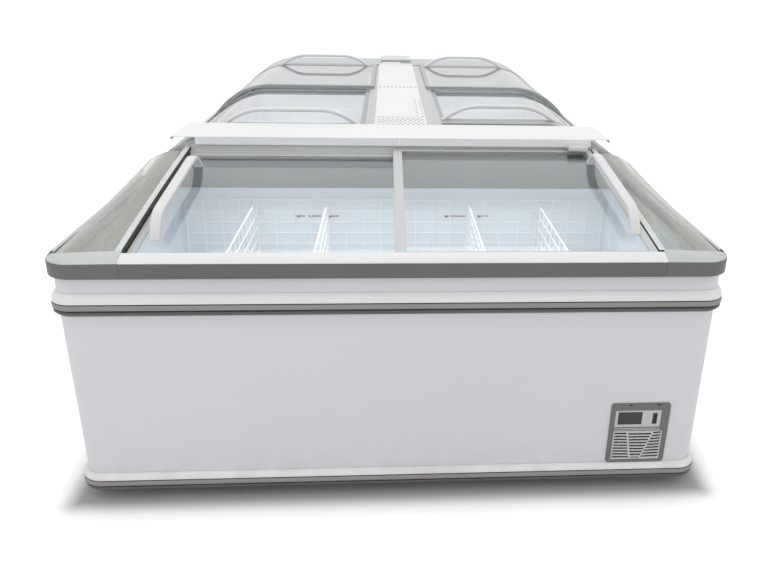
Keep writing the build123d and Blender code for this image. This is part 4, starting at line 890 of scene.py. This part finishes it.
def build_details():
    marks = new_piece("load_line_marks", make_load_marks, "cabinet", "switch_black")
    repaint(marks, MARK_RED)
    new_piece("panel_ridges", make_panel_ridges, "cabinet", "fascia_silver")
    # Painted shade in the catch slots.
    new_piece("panel_catch_shades", make_panel_catch_shades, "cabinet", "brush")


# Stage

FLOOR_LIFT = 0.3
LIFT_REACH = (0.0, 0.13)
# Reach and depth of the painted contact shadow on the floor.
PAINTED_CONTACT_REACH = (-0.02, 0.07)
PAINTED_CONTACT_SHADOW = 0.35
FLOOR_SIZE = 60
FLOOR_WHITE = 0.97
WORLD_LIGHT = 0.78
BACKDROP_LIGHT = 1.0
MIDDLE = (0, 0, 0.4)
TANK_LAMP_HEIGHT = 0.69


def grey(level):
    return (level, level, level, 1)


def make_floor():
    """White floor: away from the part it is lifted to the backdrop's white, near it keeps its full shadow,
    and right by the footprint a painted contact shadow darkens its colour.
    """
    bm = bmesh.new()
    bmesh.ops.create_grid(bm, x_segments=1, y_segments=1, size=FLOOR_SIZE)
    mesh = bpy.data.meshes.new("floor")
    bm.to_mesh(mesh)
    bm.free()
    floor = bpy.data.objects.new("floor", mesh)
    scene.collection.objects.link(floor)
    n = Nodes("floor_white")
    place = n.add("SeparateXYZ", {"Vector": n.place})
    squares = []
    for axis, half in (("X", cad_box[1].x), ("Y", cad_box[1].y)):
        past = n.math("SUBTRACT", n.math("ABSOLUTE", place.outputs[axis]), half)
        squares.append(n.math("POWER", n.math("MAXIMUM", past, 0.0), 2.0))
    away = n.math("SQRT", n.math("ADD", *squares))
    share = n.ramp(away, *LIFT_REACH)
    # Painted contact shadow: the floor's colour darkens right by the footprint.
    colour = n.mix(n.ramp(away, *PAINTED_CONTACT_REACH), grey(PAINTED_CONTACT_SHADOW), grey(FLOOR_WHITE))
    shader = n.add("BsdfDiffuse", {"Color": colour})
    path = n.add("LightPath")
    lift = n.math("MULTIPLY", n.math("MULTIPLY", path.outputs["Is Camera Ray"], share), FLOOR_LIFT)
    glow = n.add("Emission", {"Color": grey(1), "Strength": lift})
    both = n.add("AddShader", {0: shader.outputs[0], 1: glow.outputs[0]})
    mesh.materials.append(n.finish(both.outputs[0]))


def make_world():
    """Even light, and a white backdrop for what looks straight at it."""
    world = bpy.data.worlds.new("studio")
    scene.world = world
    world.use_nodes = True
    tree = world.node_tree
    tree.nodes.clear()
    path = tree.nodes.new("ShaderNodeLightPath")
    backgrounds = []
    for level in (WORLD_LIGHT, BACKDROP_LIGHT):
        node = tree.nodes.new("ShaderNodeBackground")
        node.inputs["Color"].default_value = grey(1)
        node.inputs["Strength"].default_value = level
        backgrounds.append(node.outputs[0])
    seen = path.outputs["Is Camera Ray"]
    for ray in ("Is Glossy Ray", "Is Transmission Ray"):
        either = tree.nodes.new("ShaderNodeMath")
        either.operation = "MAXIMUM"
        tree.links.new(seen, either.inputs[0])
        tree.links.new(path.outputs[ray], either.inputs[1])
        seen = either.outputs[0]
    mix = tree.nodes.new("ShaderNodeMixShader")
    for socket, source in zip(mix.inputs, (seen, *backgrounds)):
        tree.links.new(source, socket)
    out = tree.nodes.new("ShaderNodeOutputWorld")
    tree.links.new(mix.outputs[0], out.inputs["Surface"])


def make_lamp(name, place, target, size, power):
    data = bpy.data.lights.new(name, "AREA")
    data.shape = "RECTANGLE"
    data.size, data.size_y = size
    data.energy = power
    lamp = bpy.data.objects.new(name, data)
    scene.collection.objects.link(lamp)
    lamp.location = place
    lamp.rotation_mode = "QUATERNION"
    lamp.rotation_quaternion = (Vector(target) - Vector(place)).to_track_quat("-Z", "Y")


def make_tank_lamp(name, x, y, size, power):
    """A lamp under a cabinet's lids that shines straight down into the tank."""
    make_lamp(name, (x, y, TANK_LAMP_HEIGHT), (x, y, 0), size, power)


def make_lamps():
    make_lamp("key", place=(-2.5, -3.5, 4.5), target=MIDDLE, size=(3.5, 3.5), power=38)
    make_lamp("fill", place=(3.5, -2.5, 3.5), target=MIDDLE, size=(3.0, 3.0), power=16)
    make_lamp("top", place=(0, 1.5, 5.0), target=(0, 0.5, 0.4), size=(4.0, 4.0), power=40)
    make_tank_lamp("end_tank", x=0.012, y=-1.24, size=(1.4, 0.5), power=2.6)
    make_tank_lamp("left_tank", x=-0.5, y=0.37, size=(0.5, 1.6), power=1.6)
    make_tank_lamp("right_tank", x=0.5, y=0.37, size=(0.5, 1.6), power=1.6)


# Camera, solved from the straight edges of the end cabinet in the photograph

FOCAL_PIXELS = 744.773
CENTRE_PIXEL = (441.019, 269.612)
YAW, PITCH, ROLL = -0.075, 0.385, 0.024
CAMERA_PLACE = (-0.021, -3.503, 1.473)
IMAGE_WIDTH, IMAGE_HEIGHT = 768, 576
SENSOR_WIDTH = 36
CLIP_NEAR, CLIP_FAR = 0.05, 200


def make_camera():
    data = bpy.data.cameras.new("camera")
    camera = bpy.data.objects.new("camera", data)
    scene.collection.objects.link(camera)
    scene.camera = camera
    data.sensor_width = SENSOR_WIDTH
    data.lens = FOCAL_PIXELS / IMAGE_WIDTH * SENSOR_WIDTH
    data.shift_x = -(CENTRE_PIXEL[0] - IMAGE_WIDTH / 2) / IMAGE_WIDTH
    data.shift_y = (CENTRE_PIXEL[1] - IMAGE_HEIGHT / 2) / IMAGE_WIDTH
    turn = Matrix.Rotation(YAW, 3, "Z")
    ahead = Vector((0, math.cos(PITCH), -math.sin(PITCH)))
    level_up = Vector((0, math.sin(PITCH), math.cos(PITCH)))
    across = Vector((1, 0, 0))
    right = turn @ (math.cos(ROLL) * across + math.sin(ROLL) * level_up)
    up = turn @ (math.cos(ROLL) * level_up - math.sin(ROLL) * across)
    back = -(turn @ ahead)
    axes = Matrix((right, up, back)).transposed()
    camera.matrix_world = Matrix.Translation(CAMERA_PLACE) @ axes.to_4x4()
    data.clip_start = CLIP_NEAR
    data.clip_end = CLIP_FAR


dress_cad_nodes()
build_top_frame()
build_handles()
build_wires()
build_strips()
build_details()
make_floor()
make_world()
make_lamps()
make_camera()
scene.view_settings.view_transform = "Standard"
